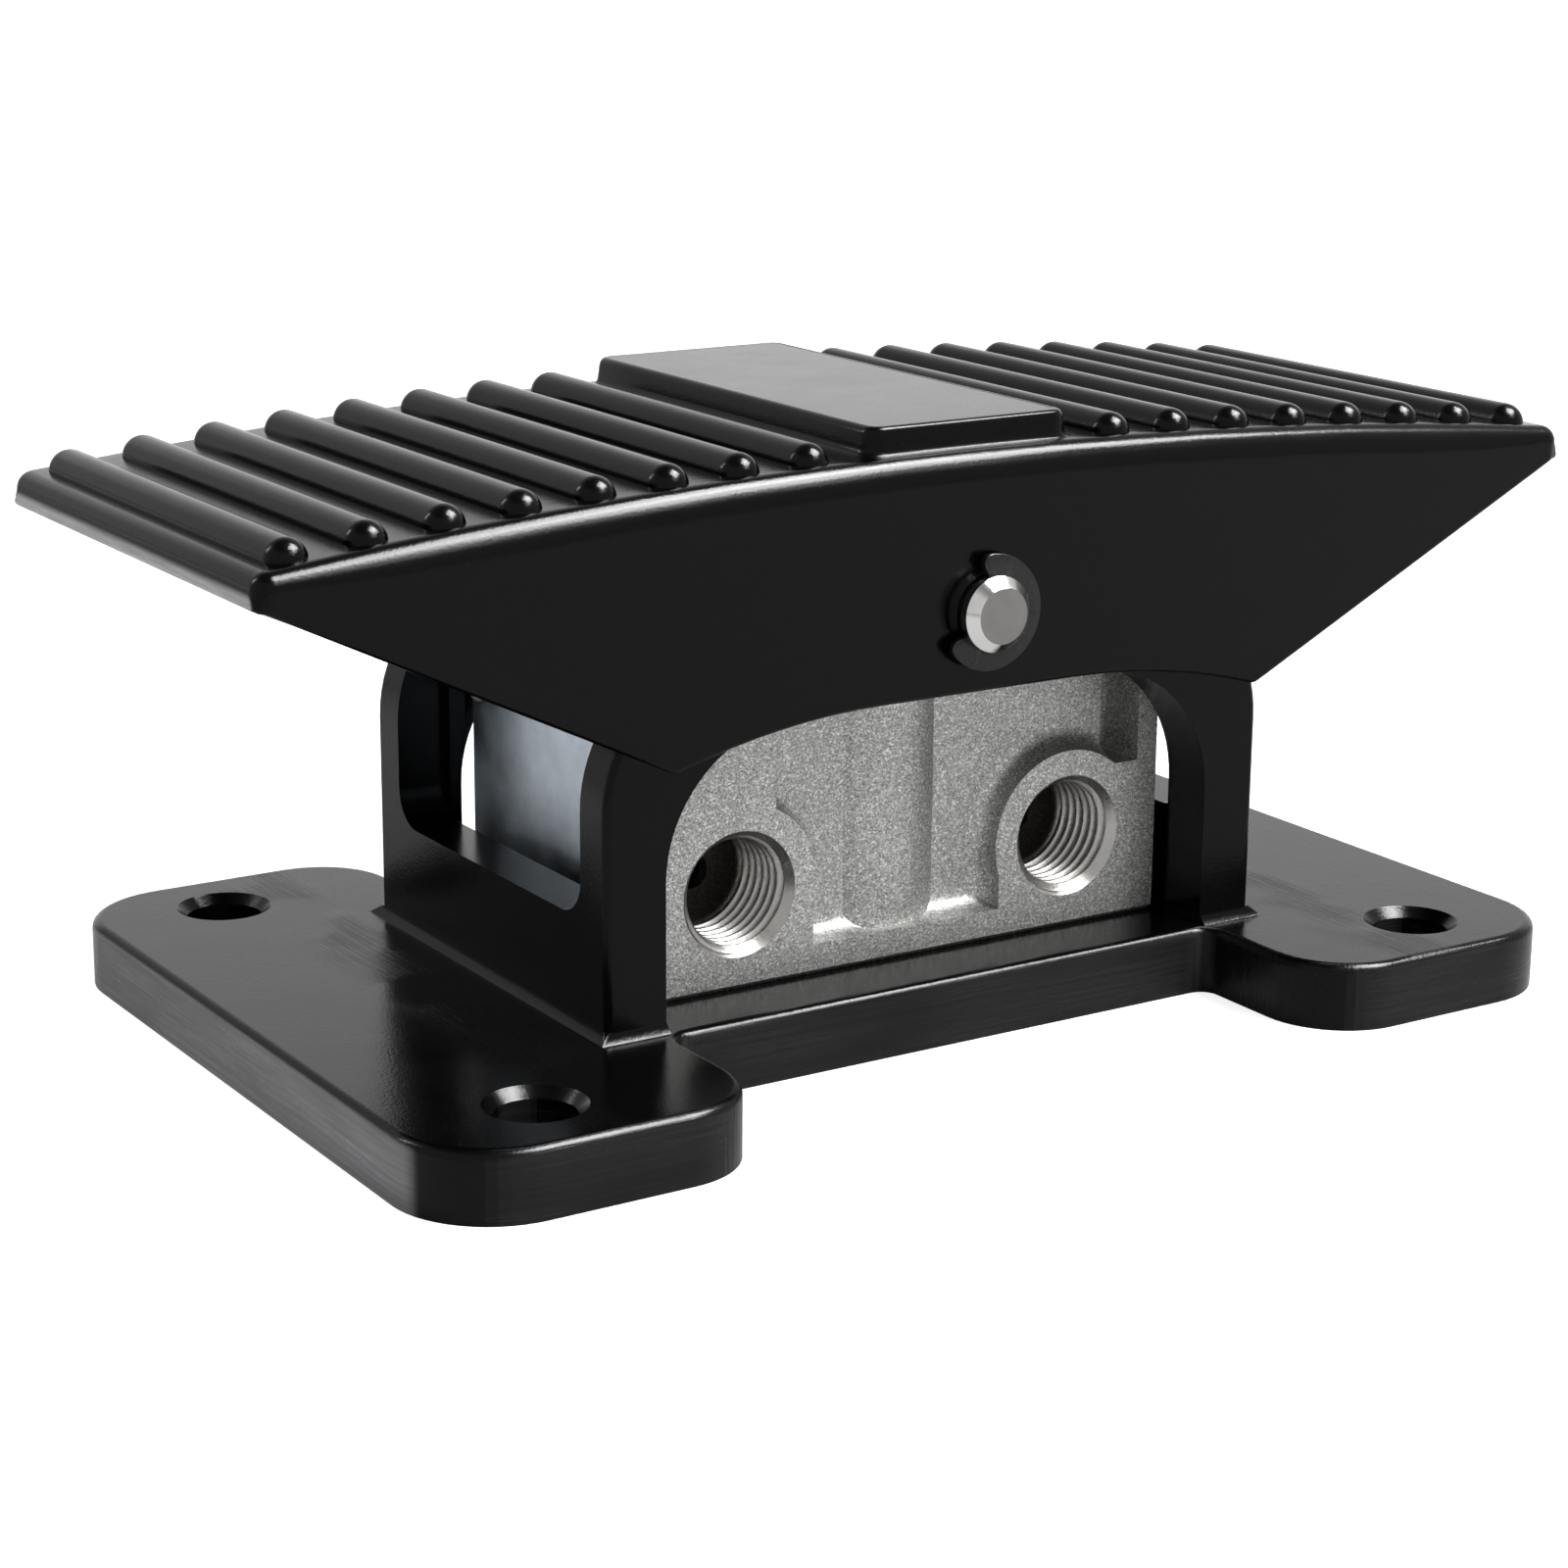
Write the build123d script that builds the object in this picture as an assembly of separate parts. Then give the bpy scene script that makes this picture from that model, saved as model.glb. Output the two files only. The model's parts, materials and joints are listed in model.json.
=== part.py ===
"""Foot pedal air valve: a rocker pedal on a cast base that works a five-port valve body.

All sizes are in millimetres. +Z is up, +X runs along the pedal and -Y is the front,
where the two exhaust ports are. The origin is the centre of the base's underside.
The pedal is level at rest. Pressing one end pushes that side's spool down, while the
other side's spool follows the pedal up on its spring.
"""
import os
from math import asin, cos, sin, sqrt

from build123d import *

# Foot plate of the base casting
base_length = 142.8
base_width = 94.8
plate_thickness = 7.5
ledge_width = 1.4
notch_length = 69.8
wing_outer_radius = 11.0
wing_inner_radius = 9.5
notch_corner_radius = 2.0
plate_edge_radius = 1.1
mount_inset_x = 15.25
mount_inset_y = 10.45
mount_hole_diameter = 8.4
mount_mouth_chamfer = 1.1

# Housing of the base casting: two arched walls joined by low end sills
body_end_gap = 2.45
body_side_gap = 1.0
wall_thickness = 6.4
end_wall_thickness = 5.7
sill_rise = 11.8
window_width = 41.0
window_corner_radius = 4.0
post_width = 7.05
arch_rise = 31.0
arch_corner_radius = 15.4
shoulder_radius = 16.0
shoulder_drop = 2.1
post_edge_radius = 0.8
foot_flare = 1.0
bearing_boss_diameter = 15.0

# Pivot
pivot_rise = 41.1
pin_diameter = 8.0
pin_running_clearance = 0.03
pin_reach = 3.45
pin_chamfer = 1.05
clip_groove_diameter = 6.0
clip_groove_width = 0.8
clip_groove_setback = 1.95
clip_outer_diameter = 12.3
clip_thickness = 0.7
clip_prong_width = 1.9
clip_mouth_width = 5.4
clip_turn = 152.0
bush_outer_diameter = 10.0
bush_flange_diameter = 14.0
bush_flange_thickness = 1.2
pedal_side_clearance = 0.3

# Pedal casting, heights measured from the pivot
pedal_length = 161.4
skirt_thickness = 4.05
crown_rise = 16.6
crown_drop = 4.5
end_edge_rise = 8.95
skirt_corner_distance = 73.6
skirt_corner_drop = 12.5
skirt_arch_drop = 8.7
skirt_flat_length = 24.0
skirt_corner_radius = 1.8
deck_thickness = 4.0
deck_tip_length = 7.9
top_edge_radius = 1.8
end_corner_radius = 2.0
skirt_edge_radius = 0.6
web_inset = 24.7
web_thickness = 3.0
web_setback = 2.0
rib_count_per_side = 8
first_rib_distance = 37.9
last_rib_inset = 4.84
rib_radius = 2.25
rib_length = 53.0
rib_sink = 0.2
pad_length = 24.2
pad_width = 56.2
pad_height = 2.85
pad_edge_radius = 0.6
pad_corner_radius = 1.6

# Valve body casting
body_length = 67.4
body_depth = 36.4
body_height = 32.5
body_edge_chamfer = 0.5
port_inset = 12.25
front_port_rise = 10.45
outlet_port_rise = 15.1
supply_port_rise = 22.1
port_thread_minor_diameter = 11.445
port_mouth_diameter = 13.8
port_depth = 10.0
port_boss_diameter = 19.6
relief_depth = 3.0
relief_floor_radius = 2.2
relief_bottom_rise = 3.4
relief_rim = 2.7
left_panel_width = 16.7
centre_relief_width = 24.4
slot_width = 3.1
slot_depth = 6.2
slot_bottom_rise = 17.9
column_offset = -0.7
column_diameter = 18.2
column_inset = 10.0
rear_column_width = 10.0
gallery_inset = 12.7
passage_diameter = 4.0
outlet_passage_diameter = 2.5

# Spool bores, spools, seals and springs
bore_diameter = 14.0
bore_floor = 3.5
gland_thread_diameter = 16.0
gland_depth = 6.0
gland_fit = 0.05
gland_flange_height = 3.5
gland_across_flats = 17.0
gland_ring_section = 1.5
gland_ring_clearance = 0.03
stem_diameter = 6.0
stem_running_clearance = 0.04
stem_seal_section = 1.8
stem_seal_height = 2.6
ring_above_outlet = 0.9
spool_land_length = 5.0
spool_land_diameter = 12.6
spool_ring_section = 1.8
spool_ring_clearance = 0.02
spool_groove_width = 2.2
spool_tail_diameter = 7.0
spool_stroke = 2.65
tail_stop_clearance = 0.2
spring_wire_diameter = 1.2
spring_mean_diameter = 10.4
spring_turns = 4.0
spring_wire_sides = 8
spring_seat_clearance = 0.05
tappet_shank_diameter = 6.0
tappet_shank_length = 6.0
tappet_fit = 0.02
tappet_head_diameter = 11.0
tappet_head_length = 3.0
tappet_dome_height = 1.2
tappet_dome_share = 0.3
tappet_tip_flat = 2.0
tappet_boss_diameter = 13.0
tappet_gap = 0.2
tappet_tip_rise = 1.6

# End plate and its fasteners
end_plate_thickness = 1.5
gasket_thickness = 0.5
end_screw_thread_diameter = 3.0
end_screw_head_diameter = 5.5
end_screw_head_height = 1.9
end_screw_length = 6.0
end_screw_spacing_y = 28.0
end_screw_spacing_z = 24.6
end_screw_hole_clearance = 0.2
end_plate_corner_radius = 2.0

# Body screws from below
body_screw_offset = -1.0
body_screw_inset = 5.6
body_screw_thread_diameter = 6.0
body_screw_head_diameter = 10.0
body_screw_head_height = 3.0
body_screw_engagement = 11.0
body_screw_socket = 4.0
body_screw_hole_clearance = 0.3
counterbore_diameter = 11.4
counterbore_depth = 4.6
washer_thickness = 1.2
washer_outer_diameter = 9.9
screw_fit = 0.04

# Places worked out from the sizes above
plate_top = plate_thickness
port_spacing = body_length - 2 * port_inset
housing_length = body_length + 2 * (body_end_gap + end_wall_thickness)
housing_width = body_depth + 2 * (body_side_gap + wall_thickness)
arch_width = housing_length - 2 * post_width
waist_width = housing_width + 2 * ledge_width
pedal_width = housing_width + 2 * (bush_flange_thickness + pedal_side_clearance + skirt_thickness)
mount_spacing_x = base_length - 2 * mount_inset_x
mount_spacing_y = base_width - 2 * mount_inset_y
web_distance = pedal_length - 2 * web_inset
rib_pitch = ((pedal_length - first_rib_distance) / 2 - last_rib_inset) / (rib_count_per_side - 1)
pivot_z = plate_top + pivot_rise
crown_z = pivot_z + crown_rise
crown_radius = ((pedal_length / 2) ** 2 + crown_drop**2) / (2 * crown_drop)
crown_centre_z = crown_z - crown_radius
end_edge_z = pivot_z + end_edge_rise
half_pedal_width = pedal_width / 2
half_housing_width = housing_width / 2
skirt_inner_y = half_housing_width + bush_flange_thickness + pedal_side_clearance
shoulder_top = pivot_z - shoulder_drop
body_top = plate_top + body_height
body_front_y = -body_depth / 2
body_right_x = body_length / 2
body_left_x = -body_length / 2 + end_plate_thickness + gasket_thickness
bore_x = port_spacing / 2
bore_bottom = plate_top + bore_floor
front_port_z = plate_top + front_port_rise
outlet_port_z = plate_top + outlet_port_rise
supply_port_z = plate_top + supply_port_rise
land_middle = outlet_port_z + outlet_passage_diameter / 2 + ring_above_outlet
land_bottom = land_middle - spool_land_length / 2
land_top = land_middle + spool_land_length / 2
tappet_tip_z = pivot_z + tappet_tip_rise
stem_top = tappet_tip_z - tappet_gap
pin_half_length = half_pedal_width + pin_reach
pin_bore_diameter = pin_diameter + 2 * pin_running_clearance
column_y = body_depth / 2 - column_inset
body_screw_y = body_depth / 2 - body_screw_inset


def crown_height_at(x):
    """Height of the pedal's crowned top surface above the floor at a place along X."""
    return crown_centre_z + sqrt(crown_radius**2 - x**2)


def both_ends():
    """The two signs used for a front and rear, or left and right, pair."""
    return (-1, 1)


def cylinder_y(radius, y_low, y_high, x=0.0, z=0.0):
    """A cylinder whose axis runs along Y between two planes."""
    middle = (y_low + y_high) / 2
    return Pos(x, middle, z) * Rot(90, 0, 0) * Cylinder(radius, y_high - y_low)


def cylinder_z(radius, z_low, z_high, x=0.0, y=0.0):
    """An upright cylinder between two heights."""
    return Pos(x, y, (z_low + z_high) / 2) * Cylinder(radius, z_high - z_low)


def cone_z(radius_low, radius_high, z_low, z_high, x=0.0, y=0.0):
    """An upright cone frustum between two heights."""
    return Pos(x, y, (z_low + z_high) / 2) * Cone(radius_low, radius_high, z_high - z_low)


def block(x_range, y_range, z_range):
    """A box between two corners."""
    centre = [(low + high) / 2 for low, high in (x_range, y_range, z_range)]
    size = [high - low for low, high in (x_range, y_range, z_range)]
    return Pos(*centre) * Box(*size)


def ring_z(mean_radius, section_radius, z, x=0.0, y=0.0):
    """An O-ring lying flat."""
    return Pos(x, y, z) * Torus(mean_radius, section_radius)


def foot_plate():
    """H-shaped plate: two wings joined by a narrower waist."""
    outline = Rectangle(base_length, base_width)
    notch_depth = (base_width - waist_width) / 2
    notch_y = waist_width / 2 + notch_depth / 2
    for side in both_ends():
        outline -= Pos(0, side * notch_y) * Rectangle(notch_length, notch_depth)
    outer = [v for v in outline.vertices() if is_near(v, base_length / 2, base_width / 2)]
    outline = fillet(outer, wing_outer_radius)
    wing_tips = [v for v in outline.vertices() if is_near(v, notch_length / 2, base_width / 2)]
    outline = fillet(wing_tips, wing_inner_radius)
    roots = [v for v in outline.vertices() if is_near(v, notch_length / 2, waist_width / 2)]
    outline = fillet(roots, notch_corner_radius)
    plate = extrude(outline, plate_thickness)
    return fillet(plate.faces().sort_by(Axis.Z)[-1].edges(), plate_edge_radius)


def is_near(vertex, x, y):
    """True for one of the four mirrored corners at the given distances from the centre."""
    return abs(abs(vertex.X) - x) < 0.01 and abs(abs(vertex.Y) - y) < 0.01


def wall_outline():
    """Front view of one housing wall: posts with round shoulders and a bearing boss."""
    wall_height = shoulder_top
    outline = Pos(0, wall_height / 2) * Rectangle(housing_length, wall_height)
    shoulders = [v for v in outline.vertices() if v.Y > wall_height / 2]
    outline = fillet(shoulders, shoulder_radius)
    boss_radius = bearing_boss_diameter / 2
    outline += Pos(0, pivot_z) * Circle(boss_radius)
    outline += Pos(0, (pivot_z + shoulder_top - boss_radius) / 2) * Rectangle(
        bearing_boss_diameter, pivot_z - shoulder_top + boss_radius
    )
    return outline


def arch_outline():
    """Opening under the wall's arch, round at its two upper corners."""
    top = plate_top + arch_rise
    outline = Pos(0, (plate_top + top) / 2) * Rectangle(arch_width, arch_rise)
    upper = [v for v in outline.vertices() if v.Y > plate_top + arch_rise / 2]
    return fillet(upper, arch_corner_radius)


def make_base_frame():
    """Base casting: foot plate, arched walls, end sills and screw counterbores."""
    wall = extrude(Plane.XZ * wall_outline(), wall_thickness)
    outer_edges = [
        e for e in wall.edges()
        if abs(e.center().Y + wall_thickness) < 0.01 and e.center().Z < pivot_z
        and abs(e.center().X) > bearing_boss_diameter
    ]
    wall = fillet(outer_edges, post_edge_radius)
    front_wall = Pos(0, wall_thickness - half_housing_width, 0) * wall
    casting = foot_plate() + front_wall + front_wall.mirror(Plane.XZ)
    sill_top = plate_top + sill_rise
    for side in both_ends():
        outer_x = side * housing_length / 2
        inner_x = side * (housing_length / 2 - end_wall_thickness)
        x_range = (min(outer_x, inner_x), max(outer_x, inner_x))
        sill = block(x_range, (-window_width / 2 - 1, window_width / 2 + 1), (0, sill_top + window_corner_radius))
        casting += sill
        window = Plane.YZ * (Pos(0, (sill_top + shoulder_top) / 2 + 1) * RectangleRounded(
            window_width, shoulder_top - sill_top + 2, window_corner_radius
        ))
        window_prism = extrude(window, end_wall_thickness + 0.02)
        casting -= Pos(x_range[0] - 0.01, 0, 0) * window_prism
    arch = extrude(Plane.XZ * arch_outline(), housing_width / 2 + 1, both=True)
    inner = block(
        (-housing_length / 2 + end_wall_thickness, housing_length / 2 - end_wall_thickness),
        (-half_housing_width + wall_thickness, half_housing_width - wall_thickness),
        (plate_top, pivot_z + bearing_boss_diameter),
    )
    casting -= arch
    casting -= inner
    casting += foot_flares()
    for x in (-mount_spacing_x / 2, mount_spacing_x / 2):
        for y in (-mount_spacing_y / 2, mount_spacing_y / 2):
            hole_radius = mount_hole_diameter / 2
            casting -= cylinder_z(hole_radius, -1, plate_top + 1, x, y)
            casting -= cone_z(
                hole_radius, hole_radius + mount_mouth_chamfer, plate_top - mount_mouth_chamfer, plate_top, x, y
            )
    casting -= cylinder_y(bush_outer_diameter / 2, -half_housing_width - 1, half_housing_width + 1, 0, pivot_z)
    screw_hole = (body_screw_thread_diameter + body_screw_hole_clearance) / 2
    for side in both_ends():
        y = side * body_screw_y
        casting -= cylinder_z(screw_hole, -1, plate_top + 1, body_screw_offset, y)
        casting -= cylinder_z(counterbore_diameter / 2, -1, counterbore_depth, body_screw_offset, y)
    return casting


def foot_flares():
    """Small sloped foot along the outside of the housing where it meets the plate."""
    low = Rectangle(housing_length + 2 * foot_flare, housing_width + 2 * foot_flare)
    high = Rectangle(housing_length, housing_width)
    flare = loft([Pos(0, 0, plate_top) * low, Pos(0, 0, plate_top + foot_flare) * high])
    flare -= block(
        (-housing_length / 2 + 0.5, housing_length / 2 - 0.5),
        (-half_housing_width + 0.5, half_housing_width - 0.5),
        (plate_top - 1, plate_top + foot_flare + 1),
    )
    opening = (-arch_width / 2, arch_width / 2)
    for side in both_ends():
        y = side * (half_housing_width + foot_flare)
        flare -= block(opening, (min(0, y * 1.1), max(0, y * 1.1)), (plate_top - 1, plate_top + foot_flare + 1))
    return flare


def pedal_outline():
    """Front view of the pedal: crowned deck, slanted skirts and a shallow arch below."""
    half_length = pedal_length / 2
    corner_x = skirt_corner_distance / 2
    corner_z = pivot_z - skirt_corner_drop
    arch_z = pivot_z - skirt_arch_drop
    flat_x = skirt_flat_length / 2
    end_top = (half_length, crown_height_at(half_length))
    right_end = (half_length, end_edge_z)
    run = corner_x - flat_x
    fall = arch_z - corner_z
    blend_radius = (run**2 + fall**2) / (2 * fall)
    half_angle = asin(run / blend_radius) / 2
    arc_middle = (flat_x + blend_radius * sin(half_angle), arch_z - blend_radius * (1 - cos(half_angle)))
    edges = [
        ThreePointArc((-end_top[0], end_top[1]), (0, crown_z), end_top),
        Line(end_top, right_end),
        Line(right_end, (corner_x, corner_z)),
        ThreePointArc((corner_x, corner_z), arc_middle, (flat_x, arch_z)),
        Line((flat_x, arch_z), (-flat_x, arch_z)),
        ThreePointArc((-flat_x, arch_z), (-arc_middle[0], arc_middle[1]), (-corner_x, corner_z)),
        Line((-corner_x, corner_z), (-right_end[0], right_end[1])),
        Line((-right_end[0], right_end[1]), (-end_top[0], end_top[1])),
    ]
    outline = make_face(Curve() + edges)
    tips = [v for v in outline.vertices() if is_near(Vertex(v.X, v.Y - corner_z, 0), corner_x, 0)]
    return fillet(tips, skirt_corner_radius)


def deck_underside():
    """Cavity profile: everything below the deck, between the two solid tips."""
    half_cavity = pedal_length / 2 - deck_tip_length
    low_z = pivot_z - skirt_corner_drop - 5
    arch_radius = crown_radius - deck_thickness
    side_z = crown_centre_z + sqrt(arch_radius**2 - half_cavity**2)
    edges = [
        ThreePointArc((-half_cavity, side_z), (0, crown_z - deck_thickness), (half_cavity, side_z)),
        Line((half_cavity, side_z), (half_cavity, low_z)),
        Line((half_cavity, low_z), (-half_cavity, low_z)),
        Line((-half_cavity, low_z), (-half_cavity, side_z)),
    ]
    return make_face(Curve() + edges)


def grip_rib(x):
    """Half-round rib across the deck with ball ends, turned as one capsule about its own axis."""
    rib_width = 2 * rib_radius
    lower_half = Pos(0, -rib_radius) * Rectangle(rib_length + 2 * rib_width, rib_width)
    profile = Plane.YZ * (SlotCenterToCenter(rib_length, rib_width) & lower_half)
    return Pos(x, 0, crown_height_at(x) - rib_sink) * revolve(profile, Axis.Y)


def pedal_pad():
    """Smooth raised pad in the middle of the deck."""
    outline = RectangleRounded(pad_length, pad_width, pad_corner_radius)
    pad = extrude(Pos(0, 0, crown_z - deck_thickness / 2) * outline, deck_thickness / 2 + pad_height)
    return fillet(pad.faces().sort_by(Axis.Z)[-1].edges(), pad_edge_radius)


def make_pedal():
    """Pedal casting: crowned hollow rocker with ribs, pad, cross webs and tappet bosses."""
    casting = extrude(Plane.XZ * pedal_outline(), half_pedal_width, both=True)
    casting = casting & extrude(RectangleRounded(pedal_length, pedal_width, end_corner_radius), crown_z + 1)
    casting = fillet([e for e in casting.edges() if is_deck_edge(e)], top_edge_radius)
    low_edges = [e for e in casting.edges() if is_skirt_edge(e)]
    casting = fillet(low_edges, skirt_edge_radius)
    cavity = extrude(Plane.XZ * deck_underside(), skirt_inner_y, both=True)
    casting -= cavity
    for side in both_ends():
        casting += cross_web(side) + tappet_boss(side)
    for index in range(rib_count_per_side):
        x = first_rib_distance / 2 + index * rib_pitch
        casting += grip_rib(x)
        casting += grip_rib(-x)
    casting += pedal_pad()
    casting -= cylinder_y(pin_diameter / 2, -half_pedal_width - 1, half_pedal_width + 1, 0, pivot_z)
    for side in both_ends():
        shank_top = tappet_tip_z + tappet_head_length + tappet_shank_length
        casting -= cylinder_z(
            tappet_shank_diameter / 2 + tappet_fit, tappet_tip_z, shank_top + tappet_fit, side * bore_x
        )
    return casting


def is_deck_edge(edge):
    """Edges round the deck's outline: along the crown, across both ends and round the corners."""
    return edge.center().Z > crown_height_at(pedal_length / 2) - 0.2


def is_skirt_edge(edge):
    """Outer lower edges of the skirts, round the corners and across the ends."""
    middle = edge.center()
    on_side = abs(abs(middle.Y) - half_pedal_width) < 0.01
    on_end = abs(middle.X) > pedal_length / 2 - end_corner_radius
    return middle.Z < end_edge_z + 0.01 and (on_side or on_end) and edge.length > 0.5


def cross_web(side):
    """Stiffening web under one end of the deck, between the skirts."""
    x = side * web_distance / 2
    slope = (end_edge_z - pivot_z + skirt_corner_drop) / ((pedal_length - skirt_corner_distance) / 2)
    web_low = end_edge_z - slope * (pedal_length - web_distance) / 2 + web_setback
    web_high = crown_height_at(x) - deck_thickness / 2
    half_y = (skirt_inner_y + half_pedal_width) / 2
    return block((x - web_thickness / 2, x + web_thickness / 2), (-half_y, half_y), (web_low, web_high))


def tappet_boss(side):
    """Round boss under the deck that holds one tappet."""
    boss_low = tappet_tip_z + tappet_head_length
    return cylinder_z(tappet_boss_diameter / 2, boss_low, crown_z - deck_thickness / 2, side * bore_x)


def make_tappet(side):
    """Hardened stud: shank in the boss, low head with a domed face on the stem."""
    head_radius = tappet_head_diameter / 2
    tip_radius = tappet_tip_flat / 2
    shank_radius = tappet_shank_diameter / 2
    rim_z = tappet_tip_z + tappet_dome_height
    shank_low = tappet_tip_z + tappet_head_length
    shank_top = shank_low + tappet_shank_length
    middle = ((tip_radius + head_radius) / 2, tappet_tip_z + tappet_dome_height * tappet_dome_share)
    edges = [
        Line((0, tappet_tip_z), (tip_radius, tappet_tip_z)),
        ThreePointArc((tip_radius, tappet_tip_z), middle, (head_radius, rim_z)),
        Polyline(
            (head_radius, rim_z), (head_radius, shank_low), (shank_radius, shank_low),
            (shank_radius, shank_top), (0, shank_top), (0, tappet_tip_z),
        ),
    ]
    profile = Plane.XZ * make_face(Curve() + edges)
    return Pos(side * bore_x, 0, 0) * revolve(profile, Axis.Z)


def make_pivot_pin():
    """Steel pin with a chamfer and a clip groove at each end."""
    pin = cylinder_y(pin_diameter / 2, -pin_half_length, pin_half_length)
    ends = [e for e in pin.edges() if e.geom_type == GeomType.CIRCLE]
    pin = chamfer(ends, pin_chamfer)
    for side in both_ends():
        groove_y = side * (pin_half_length - clip_groove_setback - clip_groove_width / 2)
        y_range = (groove_y - clip_groove_width / 2, groove_y + clip_groove_width / 2)
        groove = cylinder_y(pin_diameter, *y_range) - cylinder_y(clip_groove_diameter / 2, *y_range)
        pin -= groove
    return Pos(0, 0, pivot_z) * pin


def clip_outline():
    """E-shaped clip: open ring with three prongs that bear on the groove."""
    prong_radius = clip_groove_diameter / 2
    gap_radius = (clip_outer_diameter / 2 + prong_radius) / 2
    outline = Circle(clip_outer_diameter / 2) - Circle(gap_radius)
    bridge = (gap_radius + clip_outer_diameter / 2) / 2 - prong_radius
    for angle in (75, 180, 285):
        prong = Pos(prong_radius + bridge / 2, 0) * Rectangle(bridge, clip_prong_width)
        outline += Rot(0, 0, angle) * prong
    outline -= Circle(prong_radius)
    mouth = Pos(clip_outer_diameter / 2, 0) * Rectangle(clip_outer_diameter, clip_mouth_width)
    return outline - mouth


def make_clip(side):
    """One E-clip in its groove, its mouth turned up and to the left."""
    groove_y = side * (pin_half_length - clip_groove_setback - clip_groove_width / 2)
    flat = Rot(0, 0, clip_turn) * clip_outline()
    clip = extrude(Plane.XZ * flat, clip_thickness / 2, both=True)
    return Pos(0, groove_y, pivot_z) * clip


def make_bush(side):
    """Flanged bush in the housing wall, flange towards the pedal."""
    outer = bush_outer_diameter / 2
    inner_y = half_housing_width - wall_thickness
    flange_y = half_housing_width + bush_flange_thickness
    sleeve = cylinder_y(outer, inner_y, half_housing_width, 0, pivot_z)
    flange = cylinder_y(bush_flange_diameter / 2, half_housing_width, flange_y, 0, pivot_z)
    bush = sleeve + flange - cylinder_y(pin_bore_diameter / 2, inner_y - 1, flange_y + 1, 0, pivot_z)
    return bush if side > 0 else bush.mirror(Plane.XZ)


def front_relief():
    """Cast pocket in the body's front face between the two exhaust bosses."""
    low = plate_top + relief_bottom_rise
    high = body_top + 2
    right = body_right_x - relief_rim
    left = -body_length / 2 + left_panel_width
    boss_radius = port_boss_diameter / 2
    half_centre = centre_relief_width / 2
    outline = Pos((left + right) / 2, (low + high) / 2) * Rectangle(right - left, high - low)
    for x in (-bore_x, bore_x):
        outline -= Pos(x, front_port_z) * Circle(boss_radius)
    lower = Rectangle(body_length, front_port_z - low + 1, align=(Align.MIN, Align.MAX))
    outline -= Pos(half_centre, front_port_z) * lower
    outline -= Pos(-half_centre - body_length, front_port_z) * lower
    slot_low = plate_top + slot_bottom_rise
    right_block = Rectangle(body_length, slot_low - low + 1, align=(Align.MIN, Align.MAX))
    outline -= Pos(bore_x, slot_low) * right_block
    tool = extrude(Plane.XZ.offset(body_depth / 2 - relief_depth) * outline, relief_depth + 1)
    tool = round_floor(tool, body_depth / 2 - relief_depth, relief_floor_radius)
    tool -= cylinder_z(column_diameter / 2, low - 5, high + 5, column_offset, -column_y)
    return tool


def round_floor(tool, depth_y, radius):
    """Rounds a pocket tool where its walls meet its floor."""
    floor_edges = [
        e for e in tool.edges()
        if abs(abs(e.center().Y) - depth_y) < 0.01 and e.bounding_box().size.Y < 0.01
        and e.center().Z < body_top + 1
    ]
    return fillet(floor_edges, radius)


def front_slot():
    """Deeper narrow slot at the right of the front pocket, round at the bottom."""
    right = body_right_x - relief_rim
    low = plate_top + slot_bottom_rise
    slot_x = right - slot_width / 2
    outline = Pos(slot_x, low + slot_width / 2) * Circle(slot_width / 2)
    outline += Pos(slot_x, (low + slot_width / 2 + body_top + 1) / 2) * Rectangle(
        slot_width, body_top + 1 - low - slot_width / 2
    )
    return extrude(Plane.XZ.offset(body_depth / 2 - slot_depth) * outline, slot_depth + 1)


def rear_relief():
    """Cast pocket in the body's rear face round the supply and outlet bosses."""
    low = plate_top + relief_bottom_rise
    high = body_top + 2
    width = 2 * (body_right_x - relief_rim)
    boss_radius = port_boss_diameter / 2
    outline = Pos(0, (low + high) / 2) * Rectangle(width, high - low)
    outline -= Pos(0, supply_port_z) * Circle(boss_radius)
    outline -= Pos(0, (low + supply_port_z) / 2) * Rectangle(rear_column_width, supply_port_z - low + 2)
    for x in (-bore_x, bore_x):
        outline -= Pos(x, outlet_port_z) * Circle(boss_radius)
        outline -= Pos(x, (low + outlet_port_z) / 2 - 1) * Rectangle(port_boss_diameter, outlet_port_z - low + 2)
    return extrude(Plane.XZ.offset(-body_depth / 2 - 1) * outline, relief_depth + 1)


def port_hole(x, z, side, depth):
    """Threaded port hole at its minor diameter with a wide countersunk mouth."""
    face_y = side * body_depth / 2
    hole = cylinder_y(port_thread_minor_diameter / 2, 0, depth)
    mouth_depth = (port_mouth_diameter - port_thread_minor_diameter) / 2
    mouth = Pos(0, mouth_depth / 2, 0) * Rot(90, 0, 0) * Cone(
        port_thread_minor_diameter / 2, port_mouth_diameter / 2, mouth_depth
    )
    hole += mouth
    if side > 0:
        hole = hole.mirror(Plane.XZ)
    return Pos(x, face_y, z) * hole


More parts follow.
